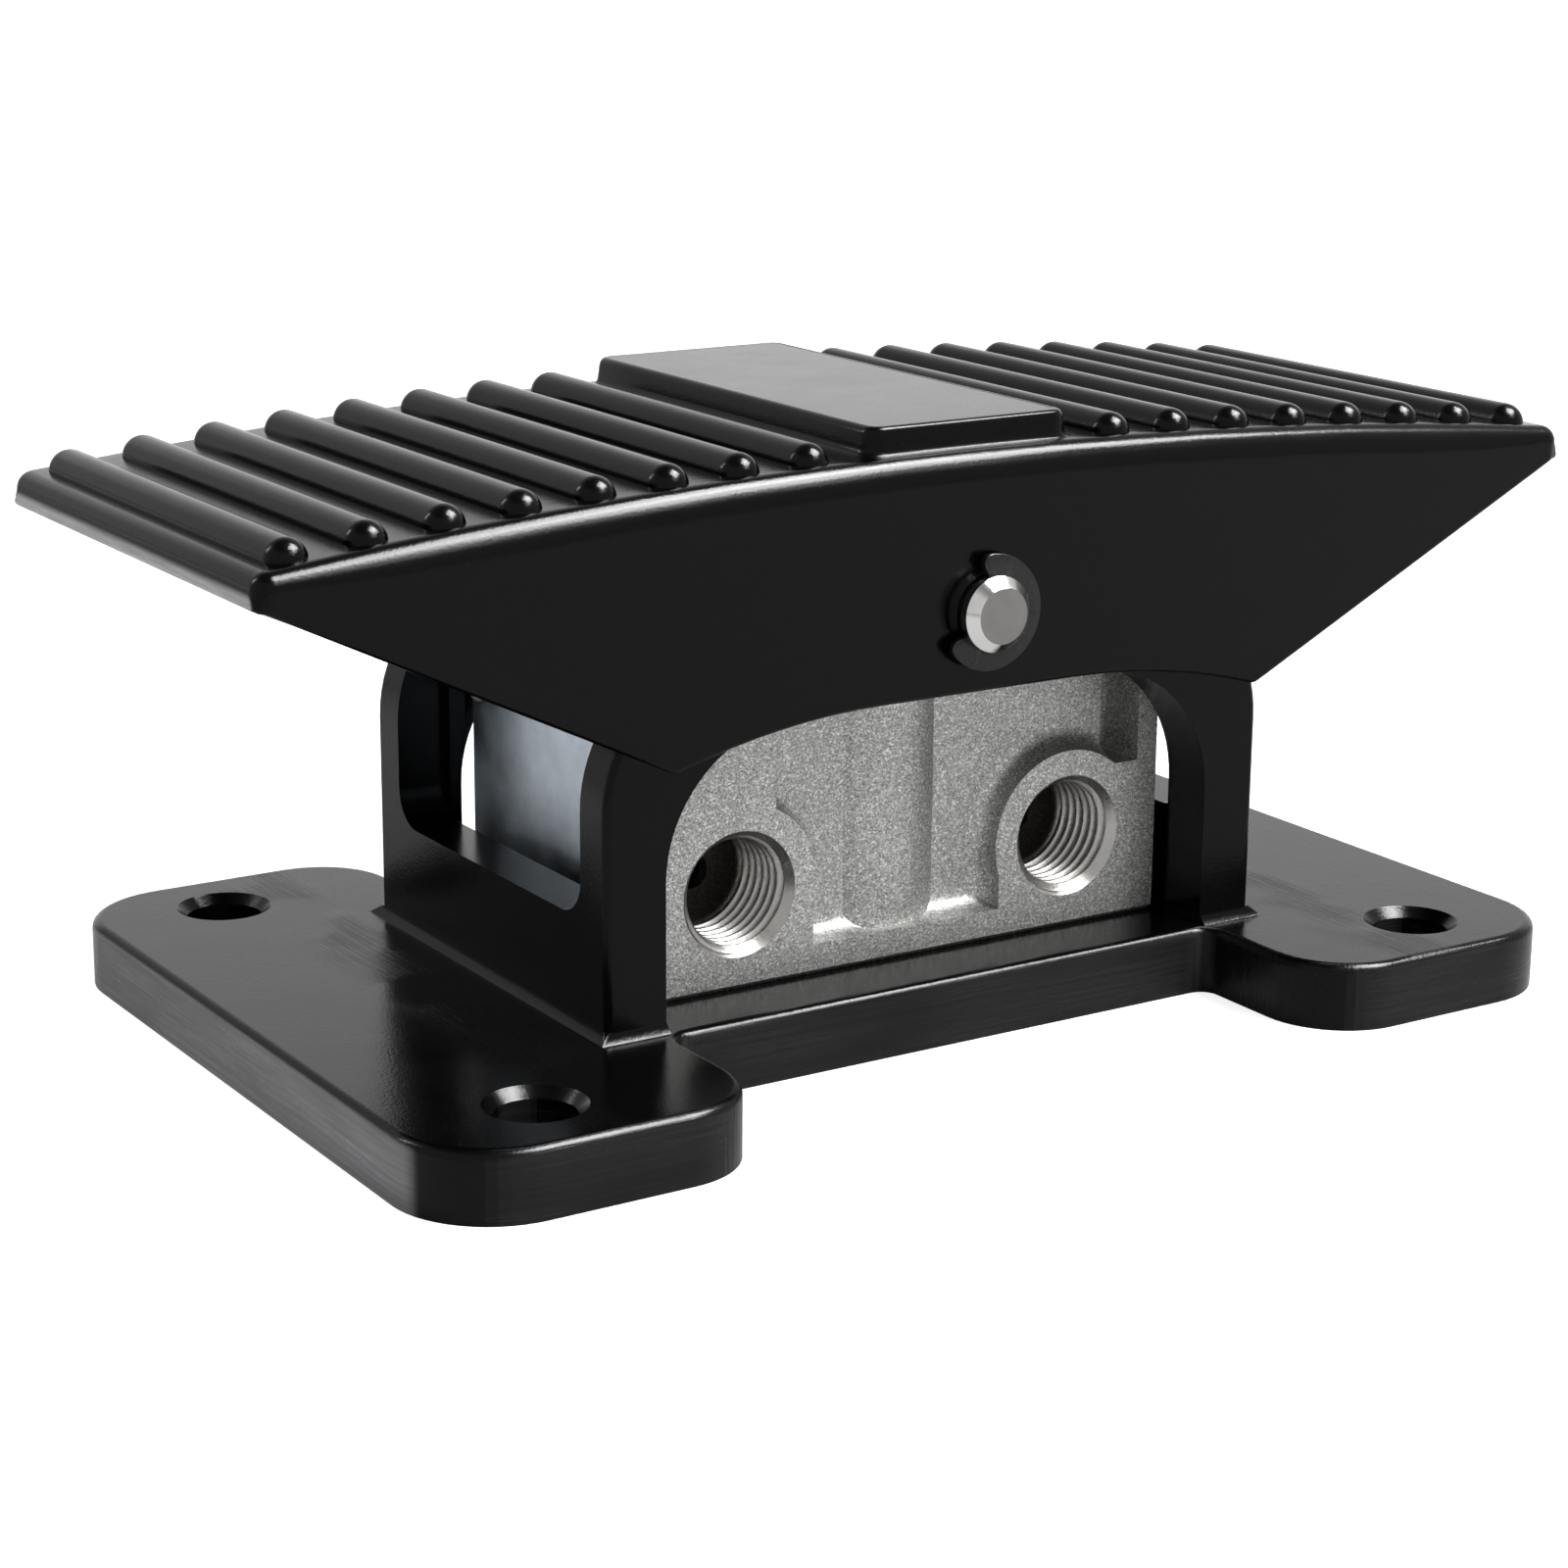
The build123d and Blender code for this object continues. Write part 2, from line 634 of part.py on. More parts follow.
def make_valve_body():
    """Aluminium body: two spool bores, five threaded ports, cast reliefs and passages."""
    body = block((body_left_x, body_right_x), (-body_depth / 2, body_depth / 2), (plate_top, body_top))
    body = chamfer(body.faces().sort_by(Axis.Z)[0].edges(), body_edge_chamfer)
    body -= front_relief()
    body -= front_slot()
    body -= rear_relief()
    bore_radius = bore_diameter / 2
    passage = passage_diameter / 2
    for side in both_ends():
        x = side * bore_x
        body -= cylinder_z(bore_radius, bore_bottom, body_top + 1, x)
        body -= cylinder_z(gland_thread_diameter / 2, body_top - gland_depth, body_top + 1, x)
        body -= port_hole(x, front_port_z, -1, port_depth)
        body -= port_hole(x, outlet_port_z, 1, port_depth)
        body -= cylinder_y(passage, -body_depth / 2 + port_depth - 1, 0, x, front_port_z)
        body -= cylinder_y(outlet_passage_diameter / 2, 0, body_depth / 2 - port_depth + 1, x, outlet_port_z)
        body -= cylinder_z(
            body_screw_thread_diameter / 2, plate_top - 1, plate_top + body_screw_engagement + 1,
            body_screw_offset, side * body_screw_y,
        )
    body -= port_hole(0, supply_port_z, 1, port_depth)
    gallery_length = bore_x - body_left_x
    gallery = Rot(0, 90, 0) * Cylinder(passage, gallery_length)
    gallery_y = body_depth / 2 - gallery_inset
    body -= Pos(body_left_x + gallery_length / 2, gallery_y, supply_port_z) * gallery
    body -= cylinder_y(passage, gallery_y - passage, body_depth / 2 - port_depth + 1, 0, supply_port_z)
    for y, z in end_screw_places():
        hole = Rot(0, 90, 0) * Cylinder(end_screw_thread_diameter / 2, end_screw_length)
        body -= Pos(body_left_x + end_screw_length / 2, y, z) * hole
    return body


def end_screw_places():
    """Centres of the four end plate screws as Y and Z pairs."""
    middle_z = plate_top + body_height / 2
    half_y = end_screw_spacing_y / 2
    half_z = end_screw_spacing_z / 2
    return [(y, middle_z + dz) for y in (-half_y, half_y) for dz in (-half_z, half_z)]


def end_sheet(x_low, thickness):
    """Flat sheet of the body's end outline with four screw holes."""
    outline = Pos(0, plate_top + body_height / 2) * RectangleRounded(
        body_depth, body_height, end_plate_corner_radius
    )
    sheet = extrude(Plane.YZ.offset(x_low) * outline, thickness)
    hole_radius = (end_screw_thread_diameter + end_screw_hole_clearance) / 2
    for y, z in end_screw_places():
        sheet -= Pos(x_low + thickness / 2, y, z) * Rot(0, 90, 0) * Cylinder(hole_radius, thickness + 1)
    return sheet


def make_end_plate():
    """Zinc-plated steel plate that closes the supply gallery."""
    return end_sheet(-body_length / 2, end_plate_thickness)


def make_end_gasket():
    """Thin gasket between the end plate and the body."""
    return end_sheet(-body_length / 2 + end_plate_thickness, gasket_thickness)


def make_end_screws():
    """Four pan-head screws through the end plate."""
    screws = []
    plate_x = -body_length / 2
    shank_length = end_screw_length + end_plate_thickness + gasket_thickness - 1
    for y, z in end_screw_places():
        shank = Rot(0, 90, 0) * Cylinder(end_screw_thread_diameter / 2 - screw_fit, shank_length)
        head = Rot(0, 90, 0) * Cylinder(end_screw_head_diameter / 2, end_screw_head_height)
        crown = [e for e in head.edges() if e.center().X < 0 and e.geom_type == GeomType.CIRCLE]
        head = fillet(crown, end_screw_head_height * 0.45)
        screw = Pos(plate_x + shank_length / 2, y, z) * shank
        screw += Pos(plate_x - end_screw_head_height / 2, y, z) * head
        screws.append(screw)
    return Compound(screws)


def make_body_screws():
    """Two socket-head screws from below into the body's columns."""
    screws = []
    seat_z = counterbore_depth - washer_thickness
    for side in both_ends():
        x, y = body_screw_offset, side * body_screw_y
        head = cylinder_z(body_screw_head_diameter / 2, seat_z - body_screw_head_height, seat_z, x, y)
        shank_top = plate_top + body_screw_engagement
        shank = cylinder_z(body_screw_thread_diameter / 2 - screw_fit, seat_z, shank_top, x, y)
        socket_outline = RegularPolygon(body_screw_socket / 2, 6, major_radius=False)
        socket = extrude(Pos(x, y, seat_z - body_screw_head_height) * socket_outline, body_screw_head_height * 0.6)
        screws.append(head + shank - socket)
    return Compound(screws)


def make_washers():
    """Lock washers under the body screws' heads."""
    washers = []
    inner = (body_screw_thread_diameter + body_screw_hole_clearance) / 2
    z_low = counterbore_depth - washer_thickness
    for side in both_ends():
        x, y = body_screw_offset, side * body_screw_y
        ring = cylinder_z(washer_outer_diameter / 2, z_low, counterbore_depth, x, y)
        washers.append(ring - cylinder_z(inner, z_low - 1, counterbore_depth + 1, x, y))
    return Compound(washers)


def stem_seal_z():
    """Height of the middle of the stem seal's groove inside the gland nut."""
    return body_top - gland_depth / 2 + stem_seal_height / 2


def make_gland(side):
    """Hexagonal gland nut: closes the bore, guides the stem and holds its seal."""
    thread_radius = gland_thread_diameter / 2 - gland_fit
    barrel = cylinder_z(thread_radius, body_top - gland_depth + 0.2, body_top)
    hexagon = RegularPolygon(gland_across_flats / 2, 6, major_radius=False)
    flange = extrude(Pos(0, 0, body_top) * hexagon, gland_flange_height)
    rounding = cone_z(
        gland_across_flats * 0.75, gland_across_flats / 2, body_top - 1.5, body_top + gland_flange_height
    )
    gland = barrel + (flange & rounding)
    hole_radius = stem_diameter / 2 + stem_running_clearance
    gland -= cylinder_z(hole_radius, body_top - gland_depth - 1, body_top + gland_flange_height + 1)
    groove_radius = hole_radius + stem_seal_section
    middle = stem_seal_z()
    gland -= cylinder_z(groove_radius, middle - stem_seal_height / 2, middle + stem_seal_height / 2)
    ring_groove = gland_ring_section
    neck = thread_radius - ring_groove - gland_ring_clearance
    groove_z = (body_top - ring_groove - 2 * gland_ring_clearance, body_top)
    gland -= cylinder_z(gland_thread_diameter, *groove_z) - cylinder_z(neck, *groove_z)
    return Pos(side * bore_x, 0, 0) * gland


def make_gland_ring(side):
    """Static O-ring under the gland nut's flange."""
    mean = gland_thread_diameter / 2 - gland_fit - gland_ring_section / 2
    return ring_z(mean, gland_ring_section / 2 - gland_ring_clearance / 2, body_top - gland_ring_section / 2
                  - gland_ring_clearance, side * bore_x)


def make_stem_seal(side):
    """Lip seal round the stem inside the gland nut."""
    inner = stem_diameter / 2 + stem_running_clearance
    outer = inner + stem_seal_section - gland_ring_clearance
    half = stem_seal_height / 2 - gland_ring_clearance
    middle = stem_seal_z()
    seal = cylinder_z(outer, middle - half, middle + half)
    seal -= cylinder_z(inner, middle - half - 1, middle + half + 1)
    lip_radius = (inner + outer) / 2
    lip_width = stem_seal_section / 4
    lip_groove = cylinder_z(lip_radius + lip_width / 2, middle - half, middle)
    lip_groove -= cylinder_z(lip_radius - lip_width / 2, middle - half, middle)
    return Pos(side * bore_x, 0, 0) * (seal - lip_groove)


def make_spool(side):
    """Spool with stem, grooved land and a tail that stops it on the bore's floor."""
    tail_bottom = bore_bottom + spool_stroke + tail_stop_clearance
    spool = cylinder_z(stem_diameter / 2, land_top, stem_top)
    tip = spool.edges().sort_by(Axis.Z)[-1]
    spool = chamfer(tip, stem_diameter / 12)
    spool += cylinder_z(spool_land_diameter / 2, land_bottom, land_top)
    spool += cylinder_z(spool_tail_diameter / 2, tail_bottom, land_bottom)
    ring_outer = bore_diameter / 2 - spool_ring_clearance
    groove_radius = ring_outer - spool_ring_section - spool_ring_clearance
    z_range = (land_middle - spool_groove_width / 2, land_middle + spool_groove_width / 2)
    spool -= cylinder_z(bore_diameter, *z_range) - cylinder_z(groove_radius, *z_range)
    return Pos(side * bore_x, 0, 0) * spool


def make_spool_ring(side):
    """O-ring of one spool: it opens the outlet to exhaust at rest and to supply when pressed."""
    section = spool_ring_section / 2
    mean = bore_diameter / 2 - spool_ring_clearance - section
    return ring_z(mean, section, land_middle, side * bore_x)


def make_spring(side):
    """Return spring between the bore's floor and the spool's land."""
    wire = spring_wire_diameter / 2
    low = bore_bottom + wire + spring_seat_clearance
    height = land_bottom - bore_bottom - 2 * (wire + spring_seat_clearance)
    pitch = height / spring_turns
    path = Helix(pitch, height, spring_mean_diameter / 2)
    start = path @ 0
    section = Plane(start, z_dir=path % 0) * RegularPolygon(wire, spring_wire_sides)
    coil = sweep(section, path, is_frenet=True)
    return Pos(side * bore_x, 0, low) * coil


PIECES = {
    "base_frame": make_base_frame,
    "pedal": make_pedal,
    "pivot_pin": make_pivot_pin,
    "clip_front": lambda: make_clip(-1),
    "clip_rear": lambda: make_clip(1),
    "bush_front": lambda: make_bush(-1),
    "bush_rear": lambda: make_bush(1),
    "valve_body": make_valve_body,
    "end_plate": make_end_plate,
    "end_gasket": make_end_gasket,
    "end_screws": make_end_screws,
    "body_screws": make_body_screws,
    "screw_washers": make_washers,
}
for name, side in (("left", -1), ("right", 1)):
    PIECES[f"tappet_{name}"] = lambda side=side: make_tappet(side)
    PIECES[f"spool_{name}"] = lambda side=side: make_spool(side)
    PIECES[f"spool_ring_{name}"] = lambda side=side: make_spool_ring(side)
    PIECES[f"spring_{name}"] = lambda side=side: make_spring(side)
    PIECES[f"gland_{name}"] = lambda side=side: make_gland(side)
    PIECES[f"gland_ring_{name}"] = lambda side=side: make_gland_ring(side)
    PIECES[f"stem_seal_{name}"] = lambda side=side: make_stem_seal(side)

os.makedirs("parts", exist_ok=True)
for node, make in PIECES.items():
    export_step(make(), f"parts/{node}.step")
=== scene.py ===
"""Foot pedal air valve, dressed for its portrait.

Lengths are in metres unless a name says millimetres. The frame is the packed model's:
+Z up, +X along the pedal, -Y towards the two exhaust ports.
"""
import json
from math import cos, pi, radians, sin

import bmesh
import bpy
import numpy as np
from mathutils import Matrix, Vector


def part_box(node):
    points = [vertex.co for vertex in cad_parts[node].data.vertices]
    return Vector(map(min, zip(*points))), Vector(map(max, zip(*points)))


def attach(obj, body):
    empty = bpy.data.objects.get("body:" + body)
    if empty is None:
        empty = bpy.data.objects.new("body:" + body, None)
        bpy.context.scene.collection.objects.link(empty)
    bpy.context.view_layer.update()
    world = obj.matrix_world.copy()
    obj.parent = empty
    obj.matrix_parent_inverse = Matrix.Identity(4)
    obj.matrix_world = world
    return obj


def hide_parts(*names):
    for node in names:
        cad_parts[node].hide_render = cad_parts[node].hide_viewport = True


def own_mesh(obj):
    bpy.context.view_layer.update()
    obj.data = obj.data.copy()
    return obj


bl_info = {
    "name": "Foot Pedal Air Valve",
    "version": (1, 0, 0),
    "blender": (4, 5, 0),
    "location": "View3D > Sidebar > Foot Valve",
    "description": "Dresses the packed foot pedal air valve and sets its studio",
    "category": "Add Mesh",
}

MM = 0.001
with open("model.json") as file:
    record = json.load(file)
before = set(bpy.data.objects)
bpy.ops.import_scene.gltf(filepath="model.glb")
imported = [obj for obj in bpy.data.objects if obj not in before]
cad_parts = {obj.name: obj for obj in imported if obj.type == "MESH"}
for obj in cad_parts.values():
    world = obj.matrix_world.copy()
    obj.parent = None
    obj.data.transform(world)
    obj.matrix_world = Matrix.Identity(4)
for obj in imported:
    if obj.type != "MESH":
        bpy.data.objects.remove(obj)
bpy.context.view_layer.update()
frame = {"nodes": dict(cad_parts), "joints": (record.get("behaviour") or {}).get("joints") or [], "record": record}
node_body = {
    node: body
    for body, nodes in frame["record"]["behaviour"]["bodies"].items()
    for node in nodes
}
node_slot = {part["node"]: part["material_slot"] for part in frame["record"]["subparts"]}
ports = {mount["name"]: mount for mount in frame["record"]["mounts"] if mount["kind"] == "threaded_hole"}
PIVOT_Z = frame["joints"][0]["pos_m"][2]


# Sizes and colours


class PaintSettings(bpy.types.PropertyGroup):
    """Gloss black paint on the two castings."""

    colour: bpy.props.FloatVectorProperty(
        name="Paint colour", description="Colour of the gloss paint", subtype="COLOR", size=3,
        default=(0.0014, 0.0014, 0.0015), min=0, max=1,
    )
    roughness: bpy.props.FloatProperty(
        name="Roughness", description="Roughness of the paint's skin", subtype="FACTOR",
        default=0.17, min=0, max=1,
    )
    gloss: bpy.props.FloatProperty(
        name="Gloss", description="Strength of the paint's mirror reflection", subtype="FACTOR",
        default=0.12, min=0, max=1,
    )
    peel_size: bpy.props.FloatProperty(
        name="Orange peel size", description="Width of one dimple in the paint", subtype="DISTANCE",
        default=0.9 * MM, min=0.1 * MM,
    )
    peel_depth: bpy.props.FloatProperty(
        name="Orange peel depth", description="Depth of the dimples", subtype="DISTANCE",
        default=0.007 * MM, min=0,
    )


class CastingSettings(bpy.types.PropertyGroup):
    """Shot-blasted aluminium of the valve body."""

    colour: bpy.props.FloatVectorProperty(
        name="Casting colour", description="Colour of the blasted aluminium", subtype="COLOR", size=3,
        default=(0.50, 0.497, 0.484), min=0, max=1,
    )
    grain_size: bpy.props.FloatProperty(
        name="Grain size", description="Width of one blasting dimple", subtype="DISTANCE",
        default=0.16 * MM, min=0.05 * MM,
    )
    grain_depth: bpy.props.FloatProperty(
        name="Grain depth", description="Depth of the blasting dimples", subtype="DISTANCE",
        default=0.035 * MM, min=0,
    )


class ThreadSettings(bpy.types.PropertyGroup):
    """Pipe threads of the five ports."""

    pitch: bpy.props.FloatProperty(
        name="Pitch", description="Distance from one thread to the next", subtype="DISTANCE",
        default=1.337 * MM, min=0.2 * MM,
    )
    major_diameter: bpy.props.FloatProperty(
        name="Major diameter", description="Diameter at the thread's roots", subtype="DISTANCE",
        default=13.157 * MM, min=1 * MM,
    )
    mouth_diameter: bpy.props.FloatProperty(
        name="Mouth diameter", description="Diameter of the port's chamfered mouth", subtype="DISTANCE",
        default=13.8 * MM, min=1 * MM,
    )
    port_depth: bpy.props.FloatProperty(
        name="Port depth", description="Depth from the body's face to the port's floor", subtype="DISTANCE",
        default=10 * MM, min=1 * MM,
    )


class ClipSettings(bpy.types.PropertyGroup):
    """E-clips on the pivot pin."""

    ring_width: bpy.props.FloatProperty(
        name="Ring width", description="Width of the clip's ring between its prongs", subtype="DISTANCE",
        default=2.05 * MM, min=0.3 * MM,
    )
    edge_radius: bpy.props.FloatProperty(
        name="Edge radius", description="Rounding of the stamped edges", subtype="DISTANCE",
        default=0.13 * MM, min=0,
    )
    mouth_angle: bpy.props.FloatProperty(
        name="Mouth angle", description="Half the angle of the clip's mouth", subtype="ANGLE",
        default=radians(54), min=0.1, max=1.5,
    )
    turn: bpy.props.FloatProperty(
        name="Turn", description="Direction of the mouth, from +X towards +Z", subtype="ANGLE",
        default=radians(156),
    )


class PedalSettings(bpy.types.PropertyGroup):
    """Rounded edges of the pedal casting."""

    crown_height: bpy.props.FloatProperty(
        name="Crown height", description="Height of the deck's middle above the floor", subtype="DISTANCE",
        default=65.2 * MM, min=1 * MM,
    )
    crown_drop: bpy.props.FloatProperty(
        name="Crown drop", description="How far the deck falls from its middle to its ends", subtype="DISTANCE",
        default=4.5 * MM, min=0.1 * MM,
    )
    solid_radius: bpy.props.FloatProperty(
        name="Solid's edge radius", description="Radius of the solid's rounded deck edge", subtype="DISTANCE",
        default=1.8 * MM, min=0.1 * MM,
    )
    soft_width: bpy.props.FloatProperty(
        name="Soft edge width", description="Width of the softer rounding along both sides", subtype="DISTANCE",
        default=2.3 * MM, min=0.1 * MM,
    )
    soft_depth: bpy.props.FloatProperty(
        name="Soft edge depth", description="Height of the softer rounding along both sides", subtype="DISTANCE",
        default=3.3 * MM, min=0.1 * MM,
    )
    end_lean: bpy.props.FloatProperty(
        name="End lean", description="How far each end face leans out at its foot", subtype="DISTANCE",
        default=0.4 * MM, min=0,
    )
    pad_half_length: bpy.props.FloatProperty(
        name="Pad half length", description="Half the pad's length at its top", subtype="DISTANCE",
        default=12.1 * MM, min=1 * MM,
    )
    pad_half_width: bpy.props.FloatProperty(
        name="Pad half width", description="Half the pad's width at its top", subtype="DISTANCE",
        default=28.1 * MM, min=1 * MM,
    )
    pad_corner: bpy.props.FloatProperty(
        name="Pad corner", description="Radius of the pad's corners seen from above", subtype="DISTANCE",
        default=1.6 * MM, min=0.1 * MM,
    )
    pad_edge: bpy.props.FloatProperty(
        name="Pad edge", description="Radius of the pad's upper edge", subtype="DISTANCE",
        default=0.9 * MM, min=0.1 * MM,
    )
    pad_draft: bpy.props.FloatProperty(
        name="Pad draft", description="Slant of the pad's sides", subtype="ANGLE", default=radians(9),
    )
    pad_spread: bpy.props.FloatProperty(
        name="Pad spread", description="How far the rim stands out from the solid pad", subtype="DISTANCE",
        default=0.35 * MM, min=0,
    )
    pad_foot: bpy.props.FloatProperty(
        name="Pad foot", description="Radius of the hollow where the pad meets the deck", subtype="DISTANCE",
        default=0.9 * MM, min=0.05 * MM,
    )


class SpringSettings(bpy.types.PropertyGroup):
    """Return springs under the spools."""

    wire_diameter: bpy.props.FloatProperty(
        name="Wire", description="Diameter of the spring's wire", subtype="DISTANCE", default=1.2 * MM, min=0.2 * MM,
    )
    turns: bpy.props.FloatProperty(name="Turns", description="Number of free turns", default=4.0, min=1)


class StudioSettings(bpy.types.PropertyGroup):
    """Camera and lamps."""

    camera_place: bpy.props.FloatVectorProperty(
        name="Camera", description="Place of the camera", subtype="TRANSLATION", size=3,
        default=(-0.20526, -0.31453, 0.12643),
    )
    azimuth: bpy.props.FloatProperty(
        name="Azimuth", description="Turn of the camera round the object", subtype="ANGLE", default=radians(-32.56),
    )
    elevation: bpy.props.FloatProperty(
        name="Elevation", description="Tilt of the camera above level", subtype="ANGLE", default=radians(15.45),
    )
    roll: bpy.props.FloatProperty(
        name="Roll", description="Roll of the camera", subtype="ANGLE", default=radians(0.42),
    )
    lens: bpy.props.FloatProperty(
        name="Lens", description="Focal length in millimetres on a 36 mm sensor", default=79.76, min=10,
    )
    backdrop: bpy.props.FloatProperty(
        name="Backdrop", description="Brightness of the pale backdrop", default=1.0, min=0,
    )
    ceiling: bpy.props.FloatProperty(
        name="Ceiling", description="Brightness of the studio overhead, in reflections", default=0.25, min=0,
    )
    sweep_low: bpy.props.FloatProperty(
        name="Sweep's start", description="Height at which the backdrop starts to dim", subtype="ANGLE",
        default=radians(40),
    )
    sweep_high: bpy.props.FloatProperty(
        name="Sweep's top", description="Height above which only the dim ceiling is left", subtype="ANGLE",
        default=radians(62),
    )
    ambient: bpy.props.FloatProperty(
        name="Ambient", description="Soft light from all round", default=0.35, min=0,
    )


SETTINGS = {
    "foot_paint": PaintSettings,
    "foot_casting": CastingSettings,
    "foot_thread": ThreadSettings,
    "foot_clip": ClipSettings,
    "foot_pedal": PedalSettings,
    "foot_spring": SpringSettings,
    "foot_studio": StudioSettings,
}


def settings(name):
    """The scene's settings of one kind."""
    return getattr(bpy.context.scene, name)


# Shader expressions


class Shade:
    """One socket of a finish, with Python's operators adding Math nodes."""

    def __init__(self, finish, socket):
        self.finish = finish
        self.socket = socket

    def maths(self, operation, *others):
        """A Math node with this socket first."""
        node = self.finish.node("ShaderNodeMath", {"operation": operation}, {0: self, **dict(enumerate(others, 1))})
        return node[0]

    def __add__(self, other):
        return self.maths("ADD", other)

    def __radd__(self, other):
        return self.maths("ADD", other)

    def __sub__(self, other):
        return self.maths("SUBTRACT", other)

    def __rsub__(self, other):
        return (self * -1) + other

    def __mul__(self, other):
        return self.maths("MULTIPLY", other)

    def __rmul__(self, other):
        return self.maths("MULTIPLY", other)

    def __truediv__(self, other):
        return self.maths("DIVIDE", other)

    def __pow__(self, other):
        return self.maths("POWER", other)

    def __abs__(self):
        return self.maths("ABSOLUTE")

    def clamped(self):
        """This value held between 0 and 1."""
        return self.maths("MAXIMUM", 0).maths("MINIMUM", 1)


class Sockets:
    """A node's outputs by name or number, as shades."""

    def __init__(self, finish, node):
        self.finish = finish
        self.node = node

    def __getitem__(self, key):
        return Shade(self.finish, self.node.outputs[key])


class Finish:
    """A material under construction."""

    def __init__(self, name):
        self.material = bpy.data.materials.new(name)
        self.material.use_nodes = True
        self.tree = self.material.node_tree
        self.tree.nodes.clear()
        place = self.node("ShaderNodeTexCoord")["Object"]
        self.place = place
        axes = self.node("ShaderNodeSeparateXYZ", {}, {0: place})
        self.x, self.y, self.z = (axes[i] * (1 / MM) for i in range(3))

    @classmethod
    def of_world(cls, world):
        """The same tools for a world's nodes."""
        finish = cls.__new__(cls)
        finish.tree = world.node_tree
        finish.tree.nodes.clear()
        return finish

    def node(self, kind, choices=None, inputs=None):
        """Adds a node: its choices are set first, then its sockets' values or links."""
        node = self.tree.nodes.new(kind)
        for key, value in (choices or {}).items():
            if key == "stops":
                self.set_stops(node, value)
            else:
                setattr(node, key, value)
        for key, value in (inputs or {}).items():
            if isinstance(value, Shade):
                self.tree.links.new(value.socket, node.inputs[key])
            else:
                node.inputs[key].default_value = value
        return Sockets(self, node)

    @staticmethod
    def set_stops(node, stops):
        """Sets a colour ramp's stops from pairs of place and grey or colour."""
        ramp = node.color_ramp
        while len(ramp.elements) < len(stops):
            ramp.elements.new(0.5)
        for element, (place, tone) in zip(ramp.elements, stops):
            element.position = place
            element.color = (tone, tone, tone, 1) if isinstance(tone, float) else (*tone, 1)

    def stretched(self, x=1.0, y=1.0, z=1.0):
        """Object coordinates multiplied along each axis, for a drawn-out pattern."""
        return self.node("ShaderNodeMapping", {"vector_type": "POINT"}, {"Vector": self.place, "Scale": (x, y, z)})[0]

    def noise(self, size, detail=2.0, roughness=0.5, place=None):
        """Soft noise between 0 and 1 whose patches are about one size wide."""
        inputs = {"Vector": place or self.place, "Scale": 1 / size, "Detail": detail, "Roughness": roughness}
        return self.node("ShaderNodeTexNoise", {"noise_dimensions": "3D"}, inputs)["Fac"]

    def ramp(self, value, *stops):
        """A colour ramp's colour at a value."""
        return self.node("ShaderNodeValToRGB", {"stops": stops}, {0: value})["Color"]

    def range(self, value, low, high, to_low=0.0, to_high=1.0):
        """A value's share of a range, held inside it, as another range."""
        inputs = {"Value": value, "From Min": low, "From Max": high, "To Min": to_low, "To Max": to_high}
        return self.node("ShaderNodeMapRange", {"clamp": True, "interpolation_type": "SMOOTHSTEP"}, inputs)["Result"]

    def tint(self, share, first, second):
        """A colour between two colours or colour sockets. A Mix node's colours are its sockets 6, 7 and 2."""
        first, second = (colour if isinstance(colour, Shade) else (*colour, 1) for colour in (first, second))
        return self.node("ShaderNodeMix", {"data_type": "RGBA"}, {0: share, 6: first, 7: second})[2]

    def scaled(self, colour, tone):
        """A colour or colour socket made lighter or darker by a factor."""
        return self.node("ShaderNodeVectorMath", {"operation": "SCALE"}, {0: colour, "Scale": tone})[0]

    def bump(self, height, depth):
        """A bumped normal: height runs from 0 to 1 over the given depth."""
        return self.node("ShaderNodeBump", {}, {"Height": height, "Distance": depth, "Strength": 1.0})["Normal"]

    def surface(self, **inputs):
        """Ends the material in a Principled shader. An underscore in a name stands for a space."""
        named = {}
        for key, value in inputs.items():
            if isinstance(value, tuple) and len(value) == 3:
                value = (*value, 1)
            named[key.replace("_", " ")] = value
        shader = self.node("ShaderNodeBsdfPrincipled", {}, named)
        self.node("ShaderNodeOutputMaterial", {}, {"Surface": shader["BSDF"]})
        return self.material


def normal_axes(finish):
    """The surface normal's three parts."""
    normal = finish.node("ShaderNodeNewGeometry")["True Normal"]
    axes = finish.node("ShaderNodeSeparateXYZ", {}, {0: normal})
    return axes[0], axes[1], axes[2]


# Places in millimetres where a finish, its painted sheen or its painted port shade changes.
# A pair is the two ends of a soft step.
PLATE_RIM, PLATE_TOP, PLATE_END = (6.9, 7.6), (7.7, 8.4), (70.5, 71.2)
PEDAL_END = (80.72, 80.92)
PORT_DEPTH, PORT_SIDE, PORT_BOTTOM, PORT_CEILING = (8.8, 11.4), (30, 32), (10.2, 11.4), (36.0, 38.0)
WING_MARKS_X, NOTCH_CORNER_X = 49.5, 36.5
# Shares of a normal's part between which a face comes to count as square to that axis.
SQUARE_FACE = (0.80, 0.97)


